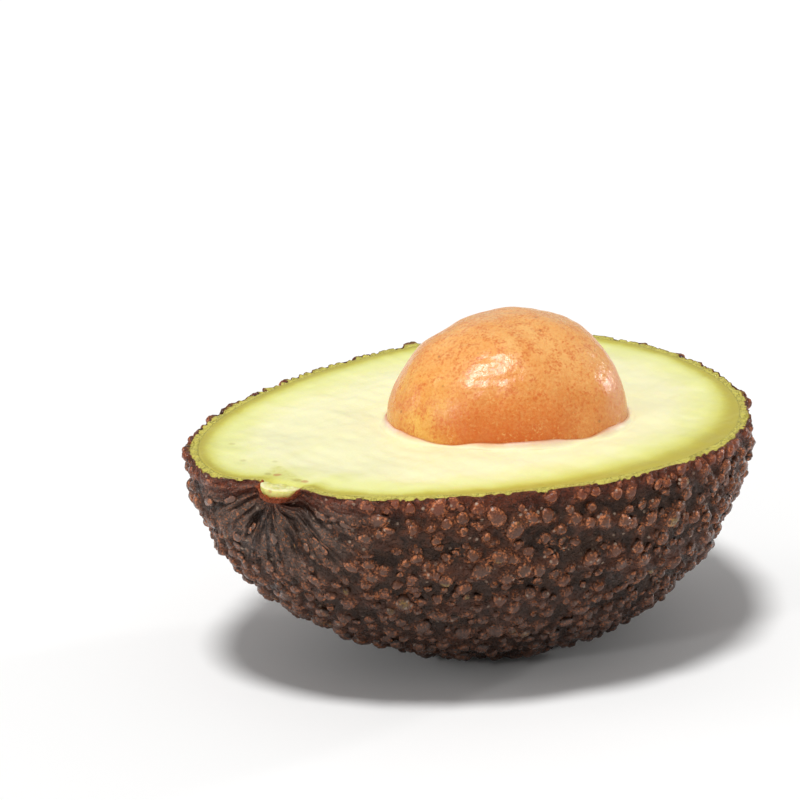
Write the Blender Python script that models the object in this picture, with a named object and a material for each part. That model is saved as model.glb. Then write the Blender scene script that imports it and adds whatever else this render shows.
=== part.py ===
"""Half of a ripe avocado, cut lengthwise through the stem end, with the pit still in its hollow.

The skin is a thin pebbled bowl. The flesh fills it, the pit lies in the flesh, and the woody end of the stalk
is cut through at the rim. Everything is in metres, +Z is up, the stem end is at -X and the half lies on a
small flat under the skin, with its cut face level.
"""

import math

import bmesh
import bpy
import numpy as np
from mathutils import Vector

MM = 0.001

# The fruit is a ball stretched to these half sizes, tapered toward the stem end and bent in plan
HALF_LENGTH = 47.2 * MM
HALF_WIDTH = 35.8 * MM
HALF_DEPTH = 35.5 * MM
TAPER = 0.11
BEND_SLOPE = -1.8 * MM
BEND_ARCH = 6.6 * MM
BEND_TWIST = 2.2 * MM

# The stem sits in a dent beside the tip, on a collar that rises out of it
STEM_ANGLE = math.radians(190.5)
DENT_DEPTH = 4.8 * MM
DENT_RADIUS = 8.5 * MM
DENT_POWER = 1.6
COLLAR_HEIGHT = 4.8 * MM
COLLAR_RADIUS = 4.9 * MM
COLLAR_POWER = 4.0

# The skin's wall, and the pebbles on it, larger than life
WALL = 1.1 * MM
VALLEY = -0.65 * MM
PEBBLE_TOP = 0.60 * MM
PEBBLE_SHARE = 0.58
SHOULDER_SHARE = 0.78
PEBBLE_PITCH = 4.1 * MM
PEBBLE_SPREAD = 0.3
DARTS = 26000
RELAX_ROUNDS = 2
SEED = 11

# Round the stem the pebbles draw out into low radial ridges: distance from the stem, and how many
RIDGE_RINGS = ((2.6 * MM, 7), (5.8 * MM, 15), (10.2 * MM, 20), (15.4 * MM, 24))
RIDGE_TOP = 0.25 * MM
RIDGE_REACH = 18.0 * MM

# The pit is an egg with its blunt end toward +X, a little nose down
PIT_CENTRE = Vector((3.1, -4.75, -0.35)) * MM
PIT_HALF_LENGTH = 18.5 * MM
PIT_HALF_WIDTH = 16.3 * MM
PIT_TAPER = 0.16
PIT_YAW = math.radians(-16)
PIT_DIP = math.radians(12)

# The stalk's woody end is half of a spheroid that the cut has opened
PLUG_INSET = 3.9 * MM
PLUG_HALF_LENGTH = 3.1 * MM
PLUG_HALF_WIDTH = 3.6 * MM

GAP = 0.3 * MM
FLAT_CUT = 1.7 * MM
BODY_SEGMENTS = 52
PIT_SEGMENTS = 34
PLUG_SEGMENTS = 20
PLANE_SNAP = 1e-6
SHARP_ANGLE = math.radians(60)

SKIN_LOOK = ((0.060, 0.026, 0.018, 1.0), 0.38)
FLESH_LOOK = ((0.86, 0.86, 0.42, 1.0), 0.42)
PIT_LOOK = ((0.66, 0.25, 0.07, 1.0), 0.28)
PLUG_LOOK = ((0.62, 0.56, 0.22, 1.0), 0.55)


def stretched(unit, lift):
    """The smooth fruit without its dent, over directions of the unit ball, raised outwards by lift.

    A direction (x, y, z) is multiplied by the half sizes. Across, y and z also swell by 1 + TAPER x, and y
    gains the middle line's bend, a cubic in x.
    """
    x, y, z = unit.T
    swell = 1 + TAPER * x
    middle = BEND_SLOPE * x + BEND_ARCH * (x**2 - 0.5) + BEND_TWIST * x**3
    along = (HALF_LENGTH + lift) * x
    across = (HALF_WIDTH + lift) * y * swell + middle
    upward = (HALF_DEPTH + lift) * z * swell
    return np.column_stack((along, across, upward))


STEM_UNIT = np.array((math.cos(STEM_ANGLE), math.sin(STEM_ANGLE), 0.0))
STEM_FOOT = stretched(STEM_UNIT[None, :], 0.0)[0]
STEM_OUTWARD = STEM_UNIT / np.array((HALF_LENGTH, HALF_WIDTH, HALF_DEPTH))
STEM_OUTWARD /= np.linalg.norm(STEM_OUTWARD)


def fruit_points(unit, lift, collar=True):
    """The fruit's surface: the stretched ball, sunk round the stem by a bell curve of the distance from it.

    The collar is a second, flatter bell that rises back out of the dent.
    """
    distance = np.linalg.norm(stretched(unit, 0.0) - STEM_FOOT, axis=1)
    sink = DENT_DEPTH * np.exp(-((distance / DENT_RADIUS) ** DENT_POWER))
    if collar:
        sink = sink - COLLAR_HEIGHT * np.exp(-((distance / COLLAR_RADIUS) ** COLLAR_POWER))
    return stretched(unit, lift) - sink[:, None] * STEM_OUTWARD


def unit_rows(rows):
    return rows / np.linalg.norm(rows, axis=1)[:, None]


def ridge_seeds():
    """Directions in rings round the stem, closer together round each ring than between the rings."""
    side = np.cross(STEM_UNIT, (0.0, 0.0, 1.0))
    up = np.array((0.0, 0.0, 1.0))
    local_radius = HALF_WIDTH * (1 + TAPER * STEM_UNIT[0])
    seeds = [STEM_UNIT]
    for ring, (distance, count) in enumerate(RIDGE_RINGS):
        lean = distance / local_radius
        for step in range(count):
            turn = 2 * math.pi * (step + 0.5 * (ring % 2)) / count
            sideways = math.cos(turn) * side + math.sin(turn) * up
            seeds.append(math.cos(lean) * STEM_UNIT + math.sin(lean) * sideways)
    return np.array(seeds)


def pebble_seeds(rng):
    """Directions of the pebbles' middles: the ridge rings, then random darts that keep their distance."""
    taken = ridge_seeds()
    places = stretched(taken, 0.0)
    darts = unit_rows(rng.normal(size=(DARTS, 3)))
    landed = stretched(darts, 0.0)
    spacing = PEBBLE_PITCH * (1 + PEBBLE_SPREAD * (rng.random(DARTS) - 0.5))
    clear_of_stem = np.linalg.norm(landed - STEM_FOOT, axis=1) > RIDGE_REACH
    for dart, place, apart, clear in zip(darts, landed, spacing, clear_of_stem):
        if clear and np.min(np.linalg.norm(places - place, axis=1)) > apart:
            taken = np.vstack((taken, dart))
            places = np.vstack((places, place))
    return taken


def in_order_round(middle, numbers, corners):
    """These corners' numbers, counterclockwise round the middle direction as seen from outside."""
    side = middle.orthogonal().normalized()
    forward = middle.cross(side)
    arms = corners[numbers]
    bearing = np.arctan2(arms @ np.array(forward), arms @ np.array(side))
    return [numbers[step] for step in np.argsort(bearing)]


def cells_round(seeds):
    """Splits the ball into one cell for each seed, the dual of the seeds' convex hull.

    Gives the cells' corners as directions and, for each seed, its corners' numbers in order round it.
    """
    hull = bmesh.new()
    for seed in seeds:
        hull.verts.new(seed)
    bmesh.ops.convex_hull(hull, input=hull.verts)
    hull.faces.index_update()
    corners = unit_rows(np.array([face.calc_center_median()[:] for face in hull.faces]))
    cells = []
    for vert in hull.verts:
        numbers = [face.index for face in vert.link_faces]
        cells.append(in_order_round(vert.co.normalized(), numbers, corners))
    hull.free()
    return corners, cells


def relaxed(seeds):
    """Moves each seed outside the ridge rings to its cell's middle, a few times, so the cells round off."""
    ridges = len(ridge_seeds())
    for _ in range(RELAX_ROUNDS):
        corners, cells = cells_round(seeds)
        middles = unit_rows(np.array([corners[cell].mean(axis=0) for cell in cells]))
        seeds = np.vstack((seeds[:ridges], middles[ridges:]))
    return seeds


def pebbled_ball(rng):
    """The whole fruit's outside as a bmesh: each cell rises from its valley corners to a domed pebble."""
    seeds = relaxed(pebble_seeds(rng))
    corners, cells = cells_round(seeds)
    height = (PEBBLE_TOP - VALLEY) * (1 + PEBBLE_SPREAD * (rng.random(len(seeds)) - 0.5))
    from_stem = np.linalg.norm(stretched(seeds, 0.0) - STEM_FOOT, axis=1)
    height[from_stem < RIDGE_REACH] = RIDGE_TOP - VALLEY
    mesh = bmesh.new()
    valley = [mesh.verts.new(point) for point in fruit_points(corners, VALLEY)]
    tops = [mesh.verts.new(point) for point in fruit_points(seeds, VALLEY + height)]
    for seed, cell, rise, top in zip(seeds, cells, height, tops):
        ring_units = unit_rows(seed + PEBBLE_SHARE * (corners[cell] - seed))
        shoulder = VALLEY + SHOULDER_SHARE * rise
        ring = [mesh.verts.new(point) for point in fruit_points(ring_units, shoulder)]
        for step, corner in enumerate(cell):
            after = (step + 1) % len(cell)
            mesh.faces.new((valley[corner], valley[cell[after]], ring[after], ring[step]))
            mesh.faces.new((ring[step], ring[after], top))
    return mesh


def smooth_ball(lift):
    """The whole fruit without pebbles or collar, as a bmesh with a ring of points on the cut plane."""
    mesh = bmesh.new()
    bmesh.ops.create_uvsphere(mesh, u_segments=BODY_SEGMENTS, v_segments=BODY_SEGMENTS // 2, radius=1.0)
    unit = np.array([vert.co[:] for vert in mesh.verts])
    for vert, point in zip(mesh.verts, fruit_points(unit, lift, collar=False)):
        vert.co = point
    return mesh


def spheroid(half_length, half_width, segments, taper=0.0):
    """An egg along X, as a bmesh: a unit ball times its half sizes, whose width swells by 1 + taper x."""
    mesh = bmesh.new()
    bmesh.ops.create_uvsphere(mesh, u_segments=segments, v_segments=segments // 2, radius=1.0)
    for vert in mesh.verts:
        swell = 1 + taper * vert.co.x
        vert.co = Vector((
            half_length * vert.co.x,
            half_width * swell * vert.co.y,
            half_width * swell * vert.co.z,
        ))
    return mesh


def keep_side(mesh, height, below):
    """Cuts the closed mesh level at this height, keeps the part below or above it and closes the cut."""
    cut = bmesh.ops.bisect_plane(
        mesh,
        geom=mesh.verts[:] + mesh.edges[:] + mesh.faces[:],
        dist=PLANE_SNAP,
        plane_co=(0, 0, height),
        plane_no=(0, 0, 1 if below else -1),
        clear_outer=True,
    )
    rim = [part for part in cut["geom_cut"] if isinstance(part, bmesh.types.BMEdge)]
    bmesh.ops.holes_fill(mesh, edges=rim)
    bmesh.ops.recalc_face_normals(mesh, faces=mesh.faces)


def material(name, look):
    colour, roughness = look
    made = bpy.data.materials.new(name)
    made.use_nodes = True
    shader = made.node_tree.nodes["Principled BSDF"]
    shader.inputs["Base Color"].default_value = colour
    shader.inputs["Roughness"].default_value = roughness
    shader.inputs["Metallic"].default_value = 0.0
    made.diffuse_color = colour
    return made


def add_object(name, mesh, parent, look=None):
    """Puts the bmesh in the scene under the parent. Without a look it is a cutter, which isn't rendered."""
    data = bpy.data.meshes.new(name)
    mesh.to_mesh(data)
    mesh.free()
    data.shade_smooth()
    data.set_sharp_from_angle(angle=SHARP_ANGLE)
    made = bpy.data.objects.new(name, data)
    made.parent = parent
    bpy.context.scene.collection.objects.link(made)
    if look is None:
        made.hide_render = True
        made.display_type = "WIRE"
    else:
        data.materials.append(material(name, look))
    return made


def cut_out(piece, cutter):
    modifier = piece.modifiers.new(cutter.name, "BOOLEAN")
    modifier.operation = "DIFFERENCE"
    modifier.solver = "EXACT"
    modifier.object = cutter


def lowest_and_highest(piece):
    corners = np.array([vert.co[:] for vert in piece.data.vertices])
    return corners.min(axis=0), corners.max(axis=0)


def add_skin(root):
    """The pebbled outside, cut level on top and flat underneath. The flesh's room is cut from it later."""
    mesh = pebbled_ball(np.random.default_rng(SEED))
    keep_side(mesh, 0.0, below=True)
    lowest = min(vert.co.z for vert in mesh.verts)
    keep_side(mesh, lowest + FLAT_CUT, below=False)
    skin = add_object("skin", mesh, root, SKIN_LOOK)
    cut_out(skin, add_object("flesh_room", smooth_ball(VALLEY - WALL), root))
    return skin


def add_flesh(root):
    mesh = smooth_ball(VALLEY - WALL - GAP)
    keep_side(mesh, 0.0, below=True)
    return add_object("flesh", mesh, root, FLESH_LOOK)


def place_pit(piece):
    piece.location = PIT_CENTRE
    piece.rotation_euler = (0.0, PIT_DIP, PIT_YAW)


def add_pit(root, flesh):
    """The pit, and the hollow it lies in, which is the same egg a gap larger all round."""
    mesh = spheroid(PIT_HALF_LENGTH, PIT_HALF_WIDTH, PIT_SEGMENTS, PIT_TAPER)
    pit = add_object("pit", mesh, root, PIT_LOOK)
    place_pit(pit)
    room = spheroid(PIT_HALF_LENGTH + GAP, PIT_HALF_WIDTH + GAP, PIT_SEGMENTS, PIT_TAPER)
    hollow = add_object("pit_room", room, root)
    place_pit(hollow)
    cut_out(flesh, hollow)
    return pit


def place_plug(piece):
    """Sets the plug along the stem's outward line, inside the collar."""
    piece.location = STEM_FOOT - PLUG_INSET * STEM_OUTWARD
    piece.rotation_euler = (0.0, 0.0, math.atan2(STEM_OUTWARD[1], STEM_OUTWARD[0]))


def add_stem_plug(root, skin, flesh):
    """The stalk's end as the cut left it, and its socket through the flesh and the skin's collar."""
    mesh = spheroid(PLUG_HALF_LENGTH, PLUG_HALF_WIDTH, PLUG_SEGMENTS)
    keep_side(mesh, 0.0, below=True)
    plug = add_object("stem_plug", mesh, root, PLUG_LOOK)
    place_plug(plug)
    room = spheroid(PLUG_HALF_LENGTH + GAP, PLUG_HALF_WIDTH + GAP, PLUG_SEGMENTS)
    socket = add_object("stem_plug_room", room, root)
    place_plug(socket)
    cut_out(skin, socket)
    cut_out(flesh, socket)
    return plug


def main():
    for old in list(bpy.data.objects):
        bpy.data.objects.remove(old)
    root = bpy.data.objects.new("avocado_half", None)
    bpy.context.scene.collection.objects.link(root)
    skin = add_skin(root)
    flesh = add_flesh(root)
    add_pit(root, flesh)
    add_stem_plug(root, skin, flesh)
    low, high = lowest_and_highest(skin)
    root.location = (-(low[0] + high[0]) / 2, -(low[1] + high[1]) / 2, -low[2])


main()
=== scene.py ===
"""The looks of an avocado half with its pit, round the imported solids, in a pale studio.

Lengths are in metres. The fruit's own frame has the cut face at z = 0 and the stem end toward -X, and each
piece is shifted from there to where its solid lies.
"""

import math

import bpy
import numpy as np
from bpy.props import FloatProperty, FloatVectorProperty, IntProperty, PointerProperty
from mathutils import Euler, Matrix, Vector


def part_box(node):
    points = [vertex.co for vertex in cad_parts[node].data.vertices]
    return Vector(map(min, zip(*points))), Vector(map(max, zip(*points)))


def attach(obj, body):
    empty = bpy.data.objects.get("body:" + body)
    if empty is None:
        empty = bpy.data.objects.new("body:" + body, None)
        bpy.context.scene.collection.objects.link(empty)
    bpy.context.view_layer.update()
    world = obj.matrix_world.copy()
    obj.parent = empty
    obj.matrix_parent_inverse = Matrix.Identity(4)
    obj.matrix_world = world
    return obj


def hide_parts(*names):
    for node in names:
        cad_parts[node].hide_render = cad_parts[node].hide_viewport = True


bl_info = {
    "name": "Avocado Half",
    "version": (1, 0, 0),
    "blender": (4, 5, 0),
    "location": "View3D > Sidebar > Avocado",
    "description": "A pebbly avocado half with its pit, cut face up, in a pale studio",
    "category": "Object",
}

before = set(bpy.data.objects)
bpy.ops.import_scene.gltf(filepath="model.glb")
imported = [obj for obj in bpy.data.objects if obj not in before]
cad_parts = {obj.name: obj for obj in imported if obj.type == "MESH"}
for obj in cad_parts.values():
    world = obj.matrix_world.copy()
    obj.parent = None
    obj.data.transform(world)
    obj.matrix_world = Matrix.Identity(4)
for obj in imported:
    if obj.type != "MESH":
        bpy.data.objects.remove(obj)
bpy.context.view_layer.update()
MM = 0.001
BODY = "root"

# The skin's valleys and wall, as offsets from the fruit's smooth form
VALLEY = -0.60 * MM
SKIN_INSIDE = -1.85 * MM
FLESH_OUTSIDE = -1.87 * MM

# Spots on the flesh near the stalk, in the fruit's frame: x, y, radius, strength, and whether it is reddish
SPOTS = (
    (-40.26 * MM, 2.51 * MM, 0.8 * MM, 0.45, False),
    (-39.72 * MM, 1.19 * MM, 0.8 * MM, 0.7, True),
    (-39.91 * MM, -2.72 * MM, 0.9 * MM, 0.45, False),
    (-39.5 * MM, -3.8 * MM, 0.7 * MM, 0.6, True),
    (-37.56 * MM, 9.89 * MM, 0.8 * MM, 0.3, False),
    (-33.46 * MM, 15.91 * MM, 0.7 * MM, 0.25, False),
    (-35.58 * MM, 5.49 * MM, 0.6 * MM, 0.25, False),
)

# The pebbles' kinds, from large to small: radius, spread of the radius, and how many darts are thrown
PEBBLE_KINDS = (
    (1.28 * MM, 0.16, 340),
    (0.94 * MM, 0.22, 3400),
    (0.64 * MM, 0.22, 5600),
)
BEAD_KIND = ((0.44 * MM, 0.22, 12000),)
PEBBLE_SEED = 5
MERGING_SHARE = 0.50
BEAD_MERGING = 0.2
MOST_HEIGHT = 1.22 * MM
# Darts land lower than this on a ball of radius one, and further than this from the stem's foot
PEBBLE_LEVEL = -0.014
STEM_CLEARANCE = 7 * MM
# How far from the stem's foot the skin is marked by it, with smaller, longer pebbles
NEAR_STEM = 15 * MM
# A mound reaches no further than this from its pebble's middle
MOUND_REACH = 4 * MM
# A pebble's side from its foot to near its top, as shares of its radius and of its height
PEBBLE_PROFILE = ((1.10, -0.15), (0.97, 0.36), (0.74, 0.72), (0.38, 0.94))
PEBBLE_COLUMNS = 12
# How far under the cut the pebbles are sliced off
SLICE_DEPTH = 0.03 * MM

# The circle that the rays at the stem are drawn on, and how slowly they change on their way out
RAY_RADIUS = 6 * MM
RAY_SHARE = 0.12
# Round the stem the rind's edge makes way for the stalk, and the walls inside are held further in
STEM_REACH = 9 * MM
STEM_HOLD = 4.2 * MM
# Rings over the rind's cut edge, as shares of the way in, and down its inner wall, in degrees from its bottom
EDGE_PARTS = (0.04, 0.12, 0.26, 0.48, 0.74, 1.0)
WALL_TILTS = (86, 74, 60, 45, 30, 15)
CHIP_DEPTH = 0.50 * MM

# The hollow laps the pit a little at the lip, and then clears it by more in each ring, up to the most
HOLLOW_LAP = 0.06 * MM
HOLLOW_EASE = 0.08 * MM
HOLLOW_GAP = 0.3 * MM

# The pit's patches: the way from its middle, and how many millimetres along that a patch begins and is full
# The seed coat patch on top lies over the pit's upper edges and is partly painted rim sheen.
FILM_AND_RIM_SHEEN_PATCH = ((0.45, 0.68, 0.58), 0.0, 17.0)
AMBER_PATCH = ((-0.75, 0.55, -0.35), 4.0, 18.0)
# The paler patch lightens one side of the pit as painted light.
PAINTED_LIGHT_PATCH = ((0.66, -0.70, 0.28), 3.0, 13.0)

# Lights: name, the way toward it, how many degrees it takes up in the sky, and strength
LIGHTS = (
    ("key", (-0.33, -0.14, 0.92), 12, 2.35),
    ("right edge", (0.94, -0.26, 0.20), 5, 0.75),
    ("left edge", (-0.62, 0.74, 0.26), 20, 0.40),
    ("left front", (-0.93, -0.05, 0.36), 5, 0.36),
)
WORLD_STRENGTH = 0.32

CUT_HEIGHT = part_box("flesh")[1].z


def unit_rows(rows):
    return rows / np.linalg.norm(rows, axis=1)[:, None]


def bell(distance, radius, power=2.0):
    """One at no distance, falling off to nothing past the radius."""
    return np.exp(-((distance / radius) ** power))


def smooth_step(low, high, values):
    """Zero below low, one above high, and an S curve between them."""
    part = np.clip((values - low) / (high - low), 0.0, 1.0)
    return part * part * (3 - 2 * part)


def ripples(points, wavelength, seed, waves=26):
    """Smooth noise of spread one: sine waves in random directions, each about one wavelength long."""
    rng = np.random.default_rng(seed)
    headings = unit_rows(rng.normal(size=(waves, 3)))
    lengths = wavelength * rng.uniform(0.65, 1.5, waves)
    phases = rng.uniform(0, 2 * math.pi, waves)
    steps = points @ (headings * (2 * math.pi / lengths)[:, None]).T
    return np.sin(steps + phases).sum(axis=1) * math.sqrt(2 / waves)


class Fruit:
    """The fruit's smooth form in its own frame, as functions of directions on the unit ball."""

    def __init__(self, form):
        self.half_sizes = np.array((form.half_length, form.half_width, form.half_depth))
        self.taper = form.taper
        self.bend = (form.bend_slope, form.bend_arch, form.bend_twist)
        self.dent = (form.dent_depth, form.dent_radius)
        self.collar = (form.collar_height, form.collar_radius)
        stem = np.array((math.cos(form.stem_angle), math.sin(form.stem_angle), 0.0))
        self.stem_foot = self.stretched(stem[None, :], 0.0)[0]
        self.stem_outward = stem / self.half_sizes
        self.stem_outward /= np.linalg.norm(self.stem_outward)

    def stretched(self, unit, lift):
        """The ball without its dent, raised outwards by lift.

        A direction (x, y, z) is multiplied by the half sizes. Across, y and z also swell by 1 + taper x, and
        y gains the middle line's bend, a cubic in x.
        """
        x, y, z = unit.T
        swell = 1 + self.taper * x
        slope, arch, twist = self.bend
        middle = slope * x + arch * (x**2 - 0.5) + twist * x**3
        length, width, depth = self.half_sizes + lift
        return np.column_stack((length * x, width * y * swell + middle, depth * z * swell))

    def from_stem(self, unit, scale=(1.0, 1.0, 1.0)):
        return np.linalg.norm((self.stretched(unit, 0.0) - self.stem_foot) * scale, axis=1)

    def points(self, unit, lift, collar=True):
        """The stretched ball, sunk round the stem by a bell curve, out of which the collar's bell rises."""
        distance = self.from_stem(unit)
        depth, radius = self.dent
        sink = depth * bell(distance, radius)
        if collar:
            height, reach = self.collar
            sink = sink - height * bell(self.from_stem(unit, (1.0, 1.0, 0.45)), reach, 3.0)
        return self.stretched(unit, lift) - sink[:, None] * self.stem_outward

    def outward(self, unit):
        """The surface's normals, from two small steps along the ball."""
        step = 1e-4
        upright = np.abs(unit[:, 2]) > 0.7
        helper = np.where(upright[:, None], (1.0, 0.0, 0.0), (0.0, 0.0, 1.0))
        sideways = unit_rows(np.cross(helper, unit))
        onward = np.cross(unit, sideways)
        here = self.points(unit, 0.0)
        along = self.points(unit_rows(unit + step * sideways), 0.0) - here
        across = self.points(unit_rows(unit + step * onward), 0.0) - here
        return unit_rows(np.cross(along, across))


class Pit:
    """The pit's egg in the fruit's frame: blunt end toward +X, a little nose down."""

    def __init__(self, form):
        self.centre = np.array(form.pit_centre)
        self.half_sizes = (form.pit_half_length, form.pit_half_width)
        self.taper = form.pit_taper
        self.turn = np.array(Euler((0.0, form.pit_dip, form.pit_yaw)).to_matrix())

    def points(self, unit):
        """A unit direction times the half sizes, across the length swelled by 1 + taper x, then turned."""
        x, y, z = unit.T
        length, width = self.half_sizes
        swell = 1 + self.taper * x
        own = np.column_stack((length * x, width * swell * y, width * swell * z))
        return own @ self.turn.T + self.centre

    def reach(self, headings):
        """How far the egg's surface is from its centre along each heading, by a few fixed-point steps."""
        along, side, up = (headings @ self.turn).T
        length, width = self.half_sizes
        reach = np.full(len(headings), width)
        for _ in range(14):
            swell = 1 + self.taper * reach * along / length
            reach = 1 / np.sqrt((along / length) ** 2 + (side**2 + up**2) / (width * swell) ** 2)
        return reach


def middle_of_box(low, high):
    return (np.array(low) + np.array(high)) / 2


def row_shift(pit):
    """From the fruit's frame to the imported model's: how far the pit's box there is from the egg's own box."""
    turns, tilts = np.meshgrid(np.linspace(0, 2 * math.pi, 180), np.linspace(0, math.pi, 90))
    sphere = np.column_stack((
        (np.sin(tilts) * np.cos(turns)).ravel(),
        (np.sin(tilts) * np.sin(turns)).ravel(),
        np.cos(tilts).ravel(),
    ))
    egg = pit.points(sphere)
    return middle_of_box(*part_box("pit")) - middle_of_box(egg.min(axis=0), egg.max(axis=0))


def ring_quads(first, columns, rings):
    """Faces between rings of points numbered on from first, the last column joined to the first."""
    ring, column = np.meshgrid(np.arange(rings - 1), np.arange(columns), indexing="ij")
    here = first + ring * columns + column
    beside = first + ring * columns + (column + 1) % columns
    return np.stack((here, beside, beside + columns, here + columns), axis=-1).reshape(-1, 4)


def fan(first, columns, pole, from_below):
    """Triangles from one ring to the pole, facing out below the ring or out above it."""
    column = np.arange(columns)
    here = first + column
    beside = first + (column + 1) % columns
    tip = np.full(columns, pole)
    return np.column_stack((beside, here, tip) if from_below else (here, beside, tip))


def turned_faces(columns, rings):
    """Faces of a closed shape whose rings run up the outside and in over the top, with a pole at each end."""
    poles = columns * rings
    quads = ring_quads(0, columns, rings)
    below = fan(0, columns, poles, True)
    above = fan(columns * (rings - 1), columns, poles + 1, False)
    return quads, np.vstack((below, above))


def add_piece(name, points, quads, triangles, material, masks, node):
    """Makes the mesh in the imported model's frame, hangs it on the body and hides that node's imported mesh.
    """
    mesh = bpy.data.meshes.new(name)
    mesh.vertices.add(len(points))
    mesh.vertices.foreach_set("co", points.astype(np.float32).ravel())
    corners = np.concatenate((quads.ravel(), triangles.ravel())).astype(np.int32)
    starts = np.concatenate((
        4 * np.arange(len(quads)),
        4 * len(quads) + 3 * np.arange(len(triangles)),
    )).astype(np.int32)
    mesh.loops.add(len(corners))
    mesh.loops.foreach_set("vertex_index", corners)
    mesh.polygons.add(len(starts))
    mesh.polygons.foreach_set("loop_start", starts)
    mesh.update(calc_edges=True)
    mesh.shade_smooth()
    for mask, values in masks.items():
        kind = "FLOAT_VECTOR" if values.ndim == 2 else "FLOAT"
        layer = mesh.attributes.new(mask, kind, "POINT")
        layer.data.foreach_set("vector" if values.ndim == 2 else "value", values.astype(np.float32).ravel())
    mesh.materials.append(material)
    piece = bpy.data.objects.new(name, mesh)
    bpy.context.scene.collection.objects.link(piece)
    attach(piece, BODY)
    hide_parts(node)
    return piece


# Shader building


def plug(tree, socket, value):
    """Links the socket to the one that feeds it, or sets its plain value."""
    if isinstance(value, bpy.types.NodeSocket):
        tree.links.new(value, socket)
    else:
        socket.default_value = value


def put(tree, kind, values=(), **settings):
    """Adds a node. values pairs an input's name or number with a value or with the socket that feeds it."""
    node = tree.nodes.new(kind)
    for name, setting in settings.items():
        setattr(node, name, setting)
    for key, value in dict(values).items():
        plug(tree, node.inputs[key], value)
    return node


def arithmetic(tree, operation, first, second=0.0, clamp=False):
    node = put(tree, "ShaderNodeMath", {0: first, 1: second}, operation=operation, use_clamp=clamp)
    return node.outputs[0]


def plus(tree, first, second, clamp=False):
    return arithmetic(tree, "ADD", first, second, clamp)


def minus(tree, first, second, clamp=False):
    return arithmetic(tree, "SUBTRACT", first, second, clamp)


def times(tree, first, second):
    return arithmetic(tree, "MULTIPLY", first, second)


def blend(tree, share, first, second):
    """A colour between the first, at share 0, and the second, at share 1, each a socket or a plain one."""
    node = put(tree, "ShaderNodeMix", {0: share}, data_type="RGBA", clamp_factor=True)
    for number, colour in ((6, first), (7, second)):
        plain_colour = not isinstance(colour, bpy.types.NodeSocket)
        plug(tree, node.inputs[number], (*colour, 1.0) if plain_colour else colour)
    return node.outputs[2]


def window(tree, value, low, high, to_low=0.0, to_high=1.0):
    """Carries the value from the range low to high onto to_low to to_high, clamped, by an S curve."""
    values = {0: value, 1: low, 2: high, 3: to_low, 4: to_high}
    return put(tree, "ShaderNodeMapRange", values, interpolation_type="SMOOTHSTEP", clamp=True).outputs[0]


def mask_of(tree, name):
    return put(tree, "ShaderNodeAttribute", attribute_name=name).outputs["Fac"]


def noise(tree, vector, scale, detail=4.0, roughness=0.55, distortion=0.0):
    values = {
        "Vector": vector,
        "Scale": scale,
        "Detail": detail,
        "Roughness": roughness,
        "Distortion": distortion,
    }
    return put(tree, "ShaderNodeTexNoise", values).outputs["Fac"]


def object_coordinates(tree):
    return put(tree, "ShaderNodeTexCoord").outputs["Object"]


def stretched_place(tree, place, scale):
    return put(tree, "ShaderNodeMapping", {"Vector": place, "Scale": scale}).outputs[0]


def part_of(tree, place, axis):
    return put(tree, "ShaderNodeSeparateXYZ", {0: place}).outputs[axis]


def new_group(name, inputs, outputs):
    """An empty node group with these sockets, each a (name, kind, default), and its two ends."""
    tree = bpy.data.node_groups.new(name, "ShaderNodeTree")
    for label, kind, default in inputs:
        socket = tree.interface.new_socket(label, in_out="INPUT", socket_type=kind)
        if default is not None:
            socket.default_value = default
    for label, kind in outputs:
        tree.interface.new_socket(label, in_out="OUTPUT", socket_type=kind)
    return tree, tree.nodes.new("NodeGroupInput").outputs, tree.nodes.new("NodeGroupOutput").inputs


def use_group(tree, name, values):
    node = tree.nodes.new("ShaderNodeGroup")
    node.node_tree = bpy.data.node_groups[name]
    for key, value in values.items():
        plug(tree, node.inputs[key], value)
    return node.outputs


def build_mottle_group():
    """Cloudy patches: a coarse noise bent by itself, sharpened by Contrast round its middle."""
    tree, given, out = new_group(
        "Mottle",
        (
            ("Vector", "NodeSocketVector", None),
            ("Scale", "NodeSocketFloat", 200.0),
            ("Contrast", "NodeSocketFloat", 2.0),
        ),
        (("Mask", "NodeSocketFloat"),),
    )
    clouds = noise(tree, given["Vector"], given["Scale"], 5.0, 0.6, 0.6)
    spread = times(tree, minus(tree, clouds, 0.5), given["Contrast"])
    tree.links.new(plus(tree, spread, 0.5, clamp=True), out["Mask"])


def build_speckle_group():
    """Small round specks: the cells of a Voronoi pattern whose random number is under Share get a dot."""
    tree, given, out = new_group(
        "Speckle",
        (
            ("Vector", "NodeSocketVector", None),
            ("Scale", "NodeSocketFloat", 500.0),
            ("Share", "NodeSocketFloat", 0.2),
            ("Size", "NodeSocketFloat", 0.35),
        ),
        (("Mask", "NodeSocketFloat"),),
    )
    cells = put(tree, "ShaderNodeTexVoronoi", {"Vector": given["Vector"], "Scale": given["Scale"]})
    chance = put(tree, "ShaderNodeSeparateColor", {0: cells.outputs["Color"]}).outputs[0]
    chosen = arithmetic(tree, "LESS_THAN", chance, given["Share"])
    inner = times(tree, given["Size"], 0.4)
    dot = window(tree, cells.outputs["Distance"], inner, given["Size"], 1.0, 0.0)
    tree.links.new(times(tree, dot, chosen), out["Mask"])


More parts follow.
